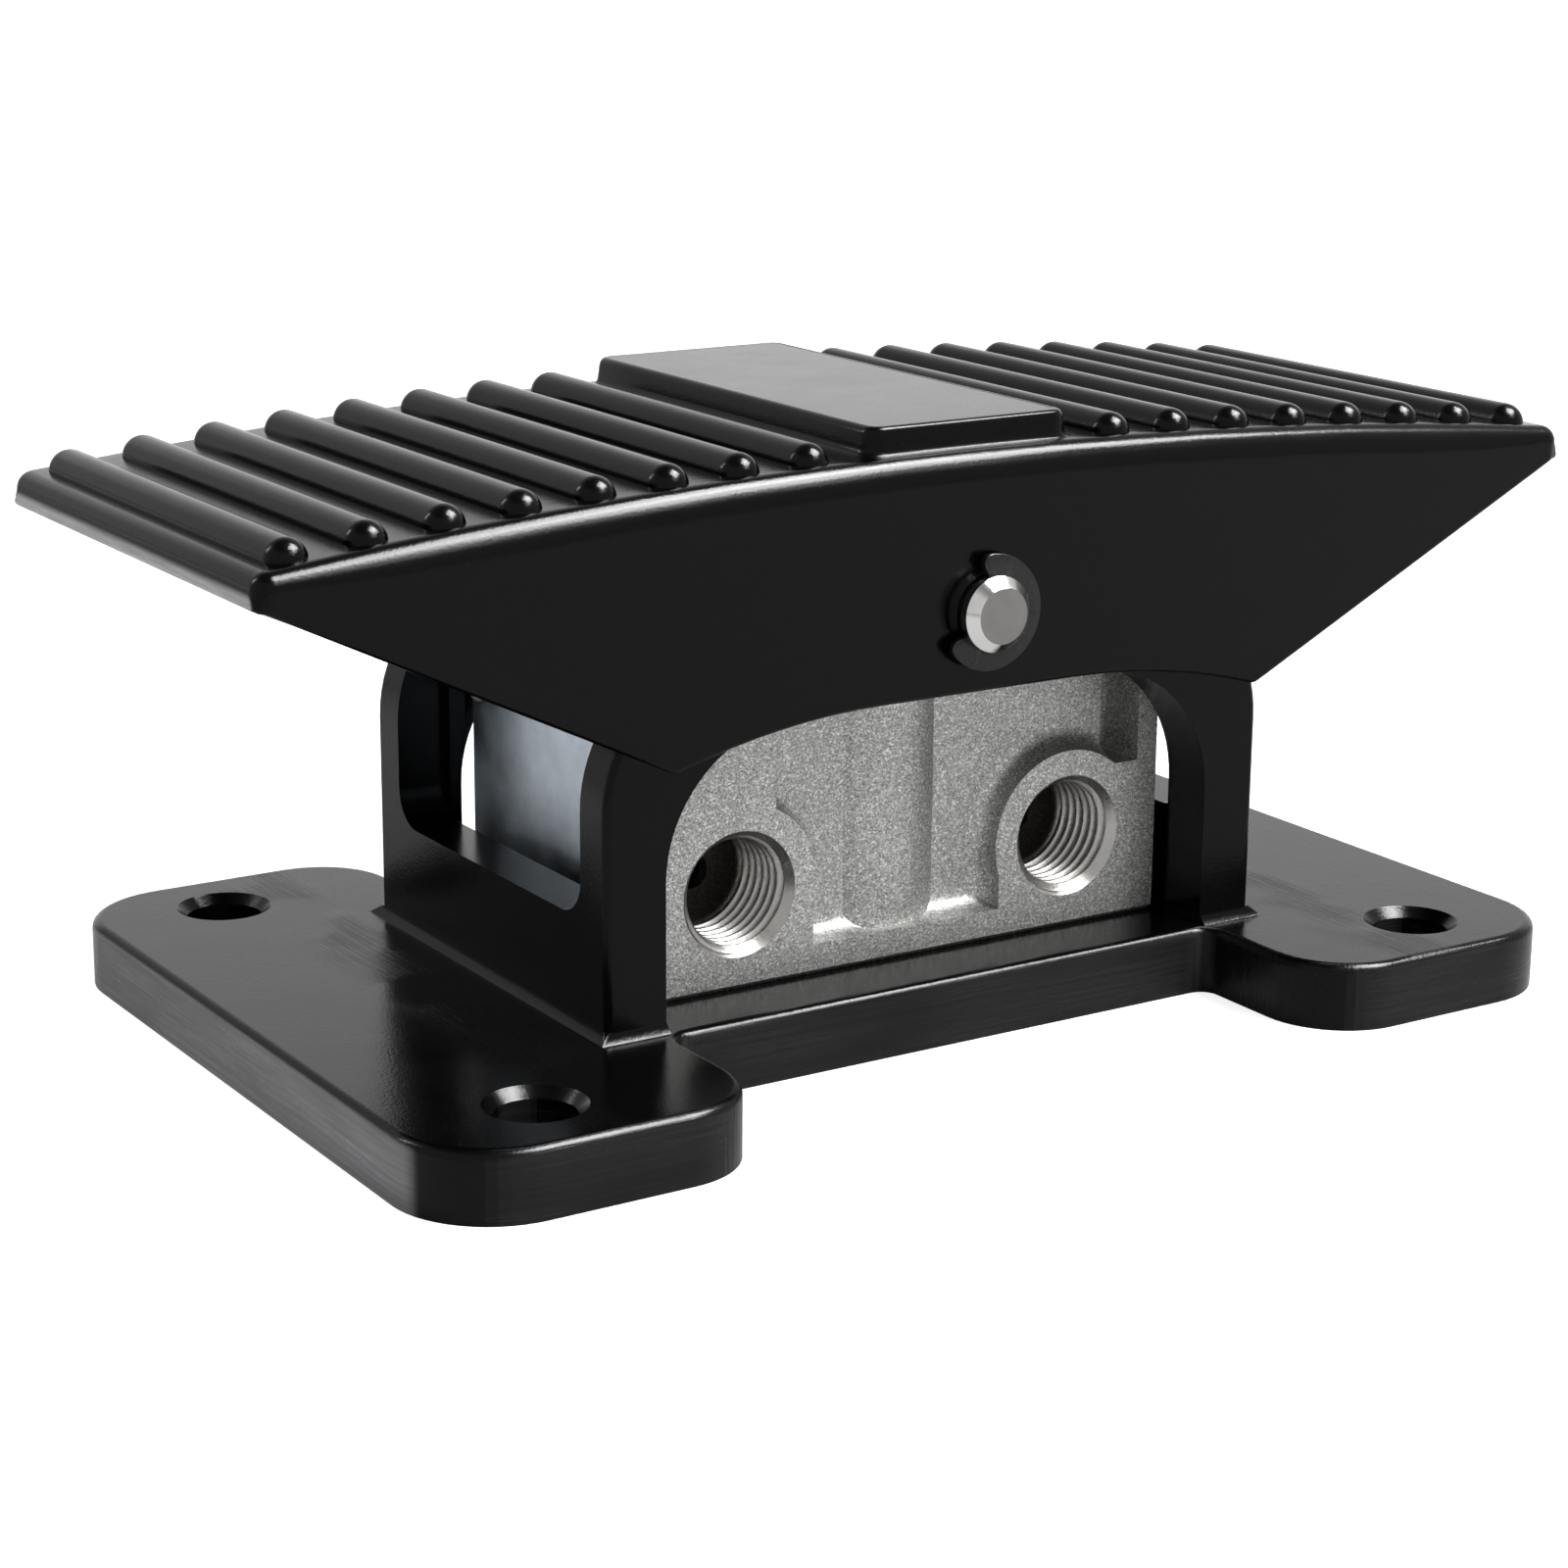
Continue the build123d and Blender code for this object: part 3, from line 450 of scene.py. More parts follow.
def gloss_black(name, filed=False):
    """Gloss black paint with orange peel and faint dust, and a pale streaky painted sheen on its end faces.

    A filed casting also has file marks under the paint, with painted sheen along them on the foot plate's rim.
    The pedal's band of painted reflection lies below its rounded end edge.
    """
    paint = settings("foot_paint")
    finish = Finish(name)
    peel = finish.noise(paint.peel_size, 1.5)
    swell = finish.noise(8 * MM, 1.0)
    dust = finish.noise(0.45 * MM, 3.0, 0.6)
    stipple = finish.noise(0.28 * MM, 2.0, 0.6)
    height = peel + swell * 2.0 + stipple * 2.4
    roughness = paint.roughness + (swell - 0.5) * 0.08 + (dust - 0.5) * 0.06
    black = finish.scaled(tuple(paint.colour), finish.range(dust, 0.55, 0.75, 1.0, 1.5))
    endwise, sidewise = (finish.range(abs(axis), *SQUARE_FACE) for axis in normal_axes(finish)[:2])
    if filed:
        marks = file_marks(finish)
        height = height + marks * 9.0
        roughness = roughness + marks * 0.20
        # Painted sheen: the foot plate's end faces, and faintly its sides, are tinted pale grey, more so along the
        # file marks.
        ends = endwise * finish.range(abs(finish.x), *PLATE_END) * (0.34 + marks)
        painted_sheen = (ends + sidewise * (0.02 + marks * 0.08)) * finish.range(finish.z, *PLATE_RIM, 1.0, 0.0)
        colour = finish.tint(painted_sheen, black, (0.30, 0.30, 0.31))
    else:
        # Painted reflection: a pale streaky band on the pedal's end faces.
        streak = finish.noise(0.5 * MM, 3.0, 0.65, finish.stretched(1, 0.06, 1))
        painted_sheen = endwise * finish.range(abs(finish.x), *PEDAL_END) * (0.35 + streak * 0.9)
        colour = finish.tint(painted_sheen, black, (0.62, 0.62, 0.62))
    return finish.surface(
        Base_Color=colour, Roughness=roughness, Specular_IOR_Level=paint.gloss,
        Normal=finish.bump(height, paint.peel_depth),
    )


def file_marks(finish):
    """File and grinding marks of the base casting, from 0 to 1.

    They run level along the foot plate's rim, across the wings beside the housing, and upright in the notch corners.
    """
    top = finish.range(normal_axes(finish)[2], 0.5, 0.9)
    low = finish.range(finish.z, *PLATE_TOP, 1.0, 0.0)
    rim = finish.noise(0.4 * MM, 3.0, 0.7, finish.stretched(0.02, 0.02, 1))
    rim_patch = finish.range(finish.noise(16 * MM, 2.0, 0.5, finish.stretched(0.5, 0.5, 2)), 0.30, 0.62, 0.35, 1.0)
    across = finish.noise(0.4 * MM, 3.0, 0.7, finish.stretched(1, 0.03, 1))
    beside = finish.range(abs(abs(finish.x) - WING_MARKS_X), 2.5, 6.5, 1.0, 0.0)
    beside_patch = finish.range(finish.noise(11 * MM, 1.0), 0.40, 0.60)
    upright = finish.noise(0.6 * MM, 2.0, 0.6, finish.stretched(1, 1, 0.05))
    corner = finish.range(abs(abs(finish.x) - NOTCH_CORNER_X), 3.0, 5.0, 1.0, 0.0)
    sides = rim * rim_patch * (1 - corner) + upright * corner * 1.6
    return (sides * (1 - top) + across * beside * beside_patch * 1.3 * top) * low


def blasted_aluminium():
    """Blasted aluminium casting: fine dimples, painted grain glints, faint cloudy tone, painted shade in the ports.
    """
    casting = settings("foot_casting")
    finish = Finish("Blasted aluminium")
    grain = finish.noise(casting.grain_size, 2.0, 0.6)
    cloud = finish.noise(11 * MM, 3.0)
    cells = {"Vector": finish.place, "Scale": 1 / (casting.grain_size * 1.1)}
    facet = finish.node("ShaderNodeTexVoronoi", {"feature": "F1"}, cells)["Color"]
    glint = finish.node("ShaderNodeSeparateColor", {}, {0: facet})[0]
    # Painted glints: the brightest grains are made lighter still in the colour.
    painted_glint = finish.range(glint, 0.8, 1.0, 0, 0.4)
    tone = 0.85 + (grain - 0.5) * 1.7 + (glint - 0.5) * 0.7 + (cloud - 0.5) * 0.12 + painted_glint
    bare = finish.scaled(tuple(casting.colour), tone)
    # Painted shade: inside the ports the colour goes near black, with a faint brown cast.
    inside = finish.range(abs(finish.y), *PORT_DEPTH, 1.0, 0.0) * finish.range(abs(finish.x), *PORT_SIDE, 1.0, 0.0)
    inside = inside * finish.range(finish.z, *PORT_CEILING, 1.0, 0.0) * finish.range(finish.z, *PORT_BOTTOM)
    colour = finish.tint(inside * 0.93, bare, (0.010, 0.007, 0.004))
    roughness = 0.44 + (grain - 0.5) * 0.2 - finish.range(glint, 0.85, 1.0, 0, 0.14)
    return finish.surface(
        Base_Color=colour, Metallic=0.80, Roughness=roughness,
        Normal=finish.bump(grain + glint * 0.5, casting.grain_depth),
    )


def cut_thread_metal():
    """Freshly cut aluminium in the port threads, with chatter lines and a film of thread sealant stain."""
    finish = Finish("Cut thread aluminium")
    chatter = finish.noise(0.25 * MM, 2.0, 0.6)
    stain = finish.range(finish.noise(3.5 * MM, 2.0), 0.55, 0.8) * finish.range(abs(finish.y), 8.6, 10.5, 1.0, 0.0)
    colour = finish.tint(stain, (0.40, 0.39, 0.375), (0.22, 0.09, 0.02))
    return finish.surface(
        Base_Color=colour, Metallic=0.95, Roughness=0.30 + (chatter - 0.5) * 0.2,
        Normal=finish.bump(chatter, 0.014 * MM),
    )


def zinc_plated(name, colour, spangle=6.0):
    """Bright zinc plating: cloudy blue-white patches over rolled steel."""
    finish = Finish(name)
    cloud = finish.noise(spangle * MM, 4.0, 0.65)
    rolled = finish.noise(0.6 * MM, 2.0, 0.5, finish.stretched(1, 0.05, 1))
    tone = 1.02 + (cloud - 0.5) * 0.9 + (rolled - 0.5) * 0.12
    return finish.surface(
        Base_Color=finish.scaled(colour, tone), Metallic=1.0, Roughness=0.34 + (cloud - 0.5) * 0.25,
        Normal=finish.bump(rolled + cloud, 0.004 * MM),
    )


RING_MM = 0.18  # distance between two turning marks


def turned_metal(name, colour, roughness, along="Z", height=0.0, sides=None):
    """Turned or ground metal: fine rings round an axis, and a little cloudiness.

    The axis runs along Z, or along Y at a height. sides is the colour of the faces that don't lie square to the
    axis, where it differs. The pin uses this for painted shade: its end faces get a darker colour than its sides.
    """
    finish = Finish(name)
    across = finish.z - height / MM if along == "Y" else finish.y
    radius = (finish.x**2 + across**2) ** 0.5
    rings = (radius * (2 * pi / RING_MM)).maths("SINE")
    cloud = finish.noise(1.6 * MM, 3.0)
    tone = 0.92 + (cloud - 0.5) * 0.25
    if sides:
        square = finish.range(abs(normal_axes(finish)["XYZ".index(along)]), 0.85, 0.97)
        colour = finish.tint(square, sides, colour)
    return finish.surface(
        Base_Color=finish.scaled(colour, tone), Metallic=1.0, Roughness=roughness + (cloud - 0.5) * 0.12,
        Normal=finish.bump(rings * 0.5 + cloud, 0.0025 * MM),
    )


def black_oxide():
    """Oiled black oxide of the stamped clips."""
    finish = Finish("Black oxide clip")
    cloud = finish.noise(0.8 * MM, 3.0)
    colour = finish.ramp(cloud, (0.3, (0.006, 0.006, 0.0065)), (0.75, (0.012, 0.0115, 0.0115)))
    return finish.surface(
        Base_Color=colour, Roughness=0.24 + (cloud - 0.5) * 0.16,
        Specular_IOR_Level=0.3, Normal=finish.bump(cloud, 0.008 * MM),
    )


def seal_rubber():
    """Matt black nitrile rubber with a faint bloom."""
    finish = Finish("Nitrile rubber")
    bloom = finish.noise(0.7 * MM, 3.0)
    colour = finish.ramp(bloom, (0.35, (0.012, 0.012, 0.012)), (0.8, (0.030, 0.029, 0.028)))
    return finish.surface(
        Base_Color=colour, Roughness=0.62 + (bloom - 0.5) * 0.2, Normal=finish.bump(bloom, 0.01 * MM),
    )


FINISHES = {
    "black_paint": lambda: gloss_black("Gloss black pedal paint"),
    # The pin's end faces are painted darker than its sides: painted shade.
    "polished_steel": lambda: turned_metal(
        "Ground pin steel", (0.205, 0.202, 0.198), 0.13, "Y", PIVOT_Z, sides=(0.66, 0.65, 0.64),
    ),
    "black_steel": black_oxide,
    "bronze": lambda: turned_metal("Sintered bronze", (0.50, 0.30, 0.13), 0.45, "Y", PIVOT_Z),
    "cast_aluminium": blasted_aluminium,
    "zinc_plate": lambda: zinc_plated("Blue-white zinc plate", (0.50, 0.56, 0.62)),
    "zinc_screw": lambda: zinc_plated("Zinc plated screws", (0.55, 0.56, 0.58), 1.2),
    "nbr": seal_rubber,
    "hardened_steel": lambda: turned_metal("Hardened tappet steel", (0.20, 0.19, 0.185), 0.30),
    "turned_aluminium": lambda: turned_metal("Turned spool aluminium", (0.66, 0.67, 0.69), 0.24),
    "spring_steel": lambda: turned_metal("Drawn spring wire", (0.40, 0.40, 0.41), 0.30),
    "brass": lambda: turned_metal("Turned gland brass", (0.62, 0.42, 0.16), 0.26),
    "base_paint": lambda: gloss_black("Gloss black base paint", True),
    "thread": cut_thread_metal,
}
made_finishes = {}


def finish_of(key):
    """The finish of that name, made on its first use."""
    if key not in made_finishes:
        made_finishes[key] = FINISHES[key]()
    return made_finishes[key]


# Mesh helpers


def surface_piece(name, vertices, faces, finish, body, closed=False):
    """A smooth-shaded piece from arrays, riding on a body. A closed one has its faces turned outwards."""
    mesh = bpy.data.meshes.new(name)
    mesh.from_pydata(vertices.tolist(), [], faces if isinstance(faces, list) else faces.tolist())
    if closed:
        work = bmesh.new()
        work.from_mesh(mesh)
        bmesh.ops.recalc_face_normals(work, faces=work.faces)
        work.to_mesh(mesh)
        work.free()
    mesh.update()
    mesh.shade_smooth()
    piece = bpy.data.objects.new(name, mesh)
    bpy.context.scene.collection.objects.link(piece)
    piece.data.materials.append(finish_of(finish))
    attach(piece, body)
    return piece


def grid_faces(rows, columns, wrap_rows=False, wrap_columns=False):
    """Quads between neighbours of a grid that is stored row by row."""
    row = np.arange(rows if wrap_rows else rows - 1)
    column = np.arange(columns if wrap_columns else columns - 1)
    r, c = np.meshgrid(row, column, indexing="ij")
    r_next, c_next = (r + 1) % rows, (c + 1) % columns
    quads = np.stack([r * columns + c, r * columns + c_next, r_next * columns + c_next, r_next * columns + c], -1)
    return quads.reshape(-1, 4)


def joined_triangles(node):
    """A CAD node's vertices and triangles with its loose corners joined, in the row frame."""
    mesh = frame["nodes"][node].data
    weld = 2e-7
    places = np.empty(len(mesh.vertices) * 3)
    mesh.vertices.foreach_get("co", places)
    mesh.calc_loop_triangles()
    corners = np.empty(len(mesh.loop_triangles) * 3, dtype=np.int64)
    mesh.loop_triangles.foreach_get("vertices", corners)
    rounded = np.round(places.reshape(-1, 3) / weld).astype(np.int64)
    _, first, merged = np.unique(rounded, axis=0, return_index=True, return_inverse=True)
    triangles = merged.ravel()[corners].reshape(-1, 3)
    whole = (triangles != np.roll(triangles, 1, axis=1)).all(axis=1)
    return places.reshape(-1, 3)[first], triangles[whole]


SHARP_DEGREES = 32
SOFT_DEGREES = 60


def shade_by_angle(piece, band=None):
    """Smooth shading with sharp edges kept, and flat faces weighted so that they stay flat.

    In a band of heights, edges up to SOFT_DEGREES are smooth too, as in the soft hollow round a cast foot.
    """
    work = bmesh.new()
    work.from_mesh(piece.data)
    for edge in work.edges:
        soft = band and all(band[0] < corner.co.z < band[1] for corner in edge.verts)
        limit = radians(SOFT_DEGREES if soft else SHARP_DEGREES)
        edge.smooth = len(edge.link_faces) == 2 and edge.calc_face_angle(0) < limit
    work.to_mesh(piece.data)
    work.free()
    weighted = piece.modifiers.new("Flat faces first", "WEIGHTED_NORMAL")
    weighted.keep_sharp = True
    weighted.weight = 90


def dressed_copy(node, finish=None, keep=None, eased=None, band=None):
    """A smooth copy of a CAD node in its place.

    keep chooses triangles from their corners' places, eased moves the corners of rounded edges, and band is a
    range of heights with softer shading.
    """
    vertices, triangles = joined_triangles(node)
    if eased is not None:
        vertices = eased(vertices)
    if keep is not None:
        triangles = triangles[keep(vertices[triangles])]
    piece = surface_piece(f"{node}_dressed", vertices, triangles, finish or node_slot[node], node_body[node])
    shade_by_angle(piece, band)
    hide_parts(node)
    return piece


# Pieces


QUARTERS = ((1, 1), (-1, 1), (-1, -1), (1, -1))  # the four corners of a rectangle, in turn


def smooth_step(share):
    """A share held between 0 and 1 and eased at both."""
    share = np.clip(share, 0, 1)
    return share * share * (3 - 2 * share)


def crown_at(x):
    """Height of the pedal's deck at places along X: a circle's arc through the middle and both ends."""
    pedal = settings("foot_pedal")
    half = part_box("pedal")[1][0]
    radius = (half**2 + pedal.crown_drop**2) / (2 * pedal.crown_drop)
    return pedal.crown_height - radius + np.sqrt(radius**2 - x**2)


def eased_pedal(vertices):
    """The pedal's corners with softer long edges and end faces that lean out a little.

    In the rounding along each side, a corner's distance from the side is multiplied by one number and its depth
    under the deck by another, so the quarter circle becomes a quarter ellipse, fading out towards the ends.
    Each end face is sheared outwards in proportion to the depth under its own rounding.
    """
    pedal = settings("foot_pedal")
    _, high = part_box("pedal")
    x, y, z = vertices.T.copy()
    radius = pedal.solid_radius
    slack = 0.02 * MM
    fade_end, fade_length = 77 * MM, 12 * MM
    end_height, end_depth = 1.35 * MM, 0.9 * MM
    inward = high[1] - np.abs(y)
    depth = crown_at(np.clip(x, -high[0], high[0])) - z
    near = (inward < radius + slack) & (depth < radius + slack) & (depth > -slack)
    fade = smooth_step((fade_end - np.abs(x)) / fade_length) * near
    y = np.sign(y) * (high[1] - inward * (1 + fade * (pedal.soft_width / radius - 1)))
    z = z - np.clip(depth, 0, None) * fade * (pedal.soft_depth / radius - 1)
    end_top = pedal.crown_height - pedal.crown_drop - radius
    lean = np.clip((end_top - z) / end_height, 0, 1) * (np.abs(x) > high[0] - end_depth)
    x = x + np.sign(x) * lean * pedal.end_lean
    return np.stack([x, y, z], -1)


def pad_rim():
    """The pad's drafted side: a closed profile carried round a rounded rectangle.

    The profile is a quarter round at the top, a slanted line, and a hollow quarter at the foot, where its height
    follows the crowned deck. Across the pad's ends it spreads by less than half of its spread along the sides.
    """
    pedal = settings("foot_pedal")
    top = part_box("pedal")[1][2]
    deck = pedal.crown_height
    edge, foot, draft = pedal.pad_edge, pedal.pad_foot, pedal.pad_draft
    lift = 0.012 * MM
    lap, buried, end_spread = 0.75 * MM, 0.6 * MM, 0.45
    steps = 7
    turn = np.linspace(0, pi / 2 - draft, 8)
    round_out = pedal.pad_spread - edge + (edge + lift) * np.sin(turn)
    round_up = top - edge + (edge + lift) * np.cos(turn)
    hollow = np.linspace(0, pi / 2 - draft, steps)
    slant_run = (round_up[-1] - deck - foot * (1 - sin(draft))) * np.tan(draft)
    foot_out = round_out[-1] + slant_run + foot * (cos(draft) - np.cos(draft + hollow))
    foot_up = deck + foot - foot * np.sin(draft + hollow)
    out = np.concatenate([[-lap], round_out, foot_out, [foot_out[-1], -0.4 * MM, -lap]])
    up = np.concatenate([[top + lift], round_up, foot_up, [deck - buried, deck - buried, top - 0.4 * MM]])
    centres, angles = [], []
    inner = np.array((pedal.pad_half_length - pedal.pad_corner, pedal.pad_half_width - pedal.pad_corner))
    corners = np.array(QUARTERS) * inner
    share = np.concatenate([np.zeros(steps), np.linspace(0, 1, steps + 2)[1:-1]])[:, None]
    bend = np.concatenate([np.linspace(0, pi / 2, steps), np.full(steps, pi / 2)])[:, None]
    for quarter, (here, after) in enumerate(zip(corners, np.roll(corners, -1, axis=0))):
        centres.append(here * (1 - share) + after * share)
        angles.append(bend + quarter * pi / 2)
    centre, angle = np.concatenate(centres), np.concatenate(angles)
    x = centre[:, :1] + (pedal.pad_corner + out) * np.cos(angle)
    y = centre[:, 1:] + (pedal.pad_corner + np.minimum(out, 0) + np.maximum(out, 0) * end_spread) * np.sin(angle)
    share = np.clip((top - up) / (top - deck), 0, 1)
    z = up + (crown_at(x) - deck) * share
    vertices = np.stack([x, y, z], -1).reshape(-1, 3)
    faces = grid_faces(len(angle), len(out), wrap_rows=True, wrap_columns=True).tolist()
    piece = surface_piece("pad_rim", vertices, faces, "black_paint", node_body["pedal"], closed=True)
    return piece


def thread_wave(turns):
    """Rounded triangle wave of a thread: 0 on its crest, 1 at its root, once a turn."""
    return smooth_step(np.abs((turns % 1.0) * 2 - 1))


def port_face(outward):
    """Place along Y of the body's face on the side that a port opens to."""
    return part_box("valve_body")[0 if outward < 0 else 1][1]


def port_thread(mount, name):
    """One port's threaded wall, as a grid of turn against depth.

    Its radius is the larger of the mouth's cone and the thread: the minor radius plus the thread's depth times the
    rounded triangle wave of depth over pitch plus the share of a turn. The thread fades out before the floor.
    """
    thread = settings("foot_thread")
    minor = mount["dims"]["r_mm"] * MM
    mouth = thread.mouth_diameter / 2
    centre = Vector(mount["pos_m"])
    outward = mount["axis"][1]
    face_y = port_face(outward)
    turn_steps, depth_steps = 96, 170
    turn = np.linspace(0, 2 * pi, turn_steps + 1)[:-1]
    depth = np.linspace(0.0, thread.port_depth + 0.02 * MM, depth_steps)
    d, t = np.meshgrid(depth, turn, indexing="ij")
    fade = np.clip((thread.port_depth - d) / thread.pitch, 0, 1)
    groove = (thread.major_diameter / 2 - minor) * thread_wave(d / thread.pitch - outward * t / (2 * pi)) * fade
    radius = np.maximum(mouth + 0.04 * MM - d, minor + groove)
    x = centre.x + radius * np.cos(t)
    z = centre.z + radius * np.sin(t)
    y = face_y - outward * (d + 0.01 * MM)
    vertices = np.stack([x, y, z], -1).reshape(-1, 3)
    faces = grid_faces(len(depth), len(turn), wrap_columns=True)
    if outward > 0:
        faces = faces[:, ::-1]
    piece = surface_piece(name, vertices, faces, "thread", "valve")
    return piece


def outside_ports(corners):
    """True for each triangle that isn't on the plain wall or the mouth cone of a port."""
    thread = settings("foot_thread")
    inside = np.zeros(len(corners), dtype=bool)
    for mount in ports.values():
        centre = np.array(mount["pos_m"])
        outward = mount["axis"][1]
        face_y = port_face(outward)
        reach = np.hypot(corners[..., 0] - centre[0], corners[..., 2] - centre[2])
        depth = (face_y - corners[..., 1]) * outward
        wall = (reach > mount["dims"]["r_mm"] * MM - 0.05 * MM) & (reach < thread.mouth_diameter / 2 + 0.02 * MM)
        within = (depth > -0.01 * MM) & (depth < thread.port_depth + 0.01 * MM)
        flat = np.ptp(corners[..., 1], axis=1) < 0.02 * MM
        inside |= (wall & within).all(axis=1) & ~flat
    return ~inside


def clip_ring(node):
    """A stamped E-clip: a rounded rectangle carried round an arc.

    The outer radius is constant. The inner radius is the ring's, and dips to the groove's at three prongs by a
    smooth step of the angle from each prong. Both close to their middle at the two rounded tips.
    """
    clip = settings("foot_clip")
    low, high = (np.array(corner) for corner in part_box(node))
    centre = (low + high) / 2
    outer = (high[0] - low[0]) / 2
    half_thickness = (high[1] - low[1]) / 2
    prong = 3.01 * MM  # just clear of the pin's groove
    prong_degrees = (75, 180, 285)
    prong_half, prong_slope = radians(21), radians(7)
    angle = np.linspace(clip.mouth_angle, 2 * pi - clip.mouth_angle, 361)
    dip = np.zeros_like(angle)
    for place in prong_degrees:
        away = np.abs(angle - radians(place))
        dip = np.maximum(dip, smooth_step((prong_half - away) / prong_slope))
    inner = (outer - clip.ring_width) * (1 - dip) + prong * dip
    middle = (outer + outer - clip.ring_width) / 2
    tip = np.clip(np.minimum(angle - angle[0], angle[-1] - angle) * middle / (clip.ring_width / 2), 0, 1)
    tip = np.sqrt(np.clip(1 - (1 - tip) ** 2, 0.0004, 1))
    top = middle + (outer - middle) * tip
    bottom = middle + (inner - middle) * tip
    edge = clip.edge_radius
    corner = np.linspace(0, pi / 2, 5)
    across, along = [], []
    for quarter, (sx, sy) in enumerate(QUARTERS):
        spread = corner + quarter * pi / 2
        across.append(np.stack([np.full(5, sx), np.cos(spread)], -1))
        along.append(np.stack([np.full(5, sy), np.sin(spread)], -1))
    across, along = np.concatenate(across), np.concatenate(along)
    half = ((top - bottom) / 2)[:, None]
    rounding = np.minimum(edge, half)
    radius = ((top + bottom) / 2)[:, None] + across[:, 0] * (half - rounding) + across[:, 1] * rounding
    depth = along[:, 0] * (half_thickness - edge) + along[:, 1] * edge
    direction = (angle + clip.turn)[:, None]
    x = radius * np.cos(direction)
    z = PIVOT_Z + radius * np.sin(direction)
    y = centre[1] + np.broadcast_to(depth, x.shape)
    vertices = np.stack([x, y, z], -1).reshape(-1, 3)
    columns = len(across)
    faces = grid_faces(len(angle), columns, wrap_columns=True).tolist()
    faces.append(list(range(columns)))
    faces.append([len(vertices) - 1 - i for i in range(columns)])
    piece = surface_piece(f"{node}_stamped", vertices, faces, node_slot[node], node_body[node], closed=True)
    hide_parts(node)
    return piece


def coil_spring(node):
    """A return spring: a round wire carried along a helix with closed ends.

    Height is a line of the turn number with three slopes: one closed turn, the free turns and one closed turn.
    A closed turn rises by a little more than the wire's diameter.
    """
    spring = settings("foot_spring")
    low, high = (np.array(corner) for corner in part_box(node))
    centre = (low + high) / 2
    wire = spring.wire_diameter / 2
    mean = (high[0] - low[0]) / 2 - wire
    turns = spring.turns + 2
    steps_per_turn = 48
    turn = np.linspace(0, 1, int(steps_per_turn * turns) + 1) * turns
    free = np.clip((turn - 1) / spring.turns, 0, 1)
    closed = wire * 2.05
    rise = high[2] - low[2] - 2 * wire - 2 * closed
    last = np.clip(turn - 1 - spring.turns, 0, 1)
    z_line = low[2] + wire + closed * np.clip(turn, 0, 1) + rise * free + closed * last
    angle = 2 * pi * turn
    sides = 12
    ring = np.linspace(0, 2 * pi, sides + 1)[:-1]
    radius = mean + wire * np.cos(ring)[None, :]
    x = centre[0] + radius * np.cos(angle)[:, None]
    y = centre[1] + radius * np.sin(angle)[:, None]
    z = z_line[:, None] + wire * np.sin(ring)[None, :]
    vertices = np.stack([x, y, z], -1).reshape(-1, 3)
    faces = grid_faces(len(turn), sides, wrap_columns=True).tolist()
    faces.append(list(range(sides))[::-1])
    faces.append([len(vertices) - sides + i for i in range(sides)])
    piece = surface_piece(f"{node}_coil", vertices, faces, node_slot[node], node_body[node], closed=True)
    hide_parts(node)
    joint = node.replace("spring", "plunger") + "_slide"
    squeeze = abs(next(j for j in frame["joints"] if j["name"] == joint)["range_m"][0])
    height = high[2] - low[2]
    1 - squeeze / height
    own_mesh(piece)
    return piece


# Operators


class PieceOperator:
    """Shared behaviour of the operators that make pieces."""

    bl_options = {"REGISTER", "UNDO"}

    def execute(self, context):
        self.make()
        return {"FINISHED"}


class FOOTVALVE_OT_castings(PieceOperator, bpy.types.Operator):
    """Paint the base casting and the pedal casting"""

    bl_idname = "footvalve.castings"
    bl_label = "Painted castings"

    def make(self):
        dressed_copy("base_frame", "base_paint", band=(8.0 * MM, 10.2 * MM))
        dressed_copy("pedal", eased=eased_pedal)
        pad_rim()


class FOOTVALVE_OT_valve_body(PieceOperator, bpy.types.Operator):
    """Finish the valve body and cut the threads of its five ports"""

    bl_idname = "footvalve.valve_body"
    bl_label = "Valve body and threads"

    def make(self):
        dressed_copy("valve_body", keep=outside_ports)
        for name, mount in ports.items():
            port_thread(mount, f"{name}_thread")


class FOOTVALVE_OT_end_plate(PieceOperator, bpy.types.Operator):
    """Finish the end plate, its gasket and its screws"""

    bl_idname = "footvalve.end_plate"
    bl_label = "End plate"

    def make(self):
        for node in ("end_plate", "end_gasket", "end_screws"):
            dressed_copy(node)


class FOOTVALVE_OT_pivot(PieceOperator, bpy.types.Operator):
    """Finish the pivot pin and its bushes, and stamp the clips"""

    bl_idname = "footvalve.pivot"
    bl_label = "Pivot pin, bushes and clips"

    def make(self):
        for node in ("pivot_pin", "bush_front", "bush_rear"):
            dressed_copy(node)
        clip_ring("clip_front")
        clip_ring("clip_rear")


class FOOTVALVE_OT_plungers(PieceOperator, bpy.types.Operator):
    """Finish the spools, their seals, glands and tappets, and wind the springs"""

    bl_idname = "footvalve.plungers"
    bl_label = "Spools, seals and springs"

    def make(self):
        for side in ("left", "right"):
            for kind in ("spool", "spool_ring", "gland", "gland_ring", "stem_seal", "tappet"):
                dressed_copy(f"{kind}_{side}")
            coil_spring(f"spring_{side}")


class FOOTVALVE_OT_body_screws(PieceOperator, bpy.types.Operator):
    """Finish the screws and lock washers under the base"""

    bl_idname = "footvalve.body_screws"
    bl_label = "Body screws"

    def make(self):
        for node in ("body_screws", "screw_washers"):
            dressed_copy(node)


# Stage


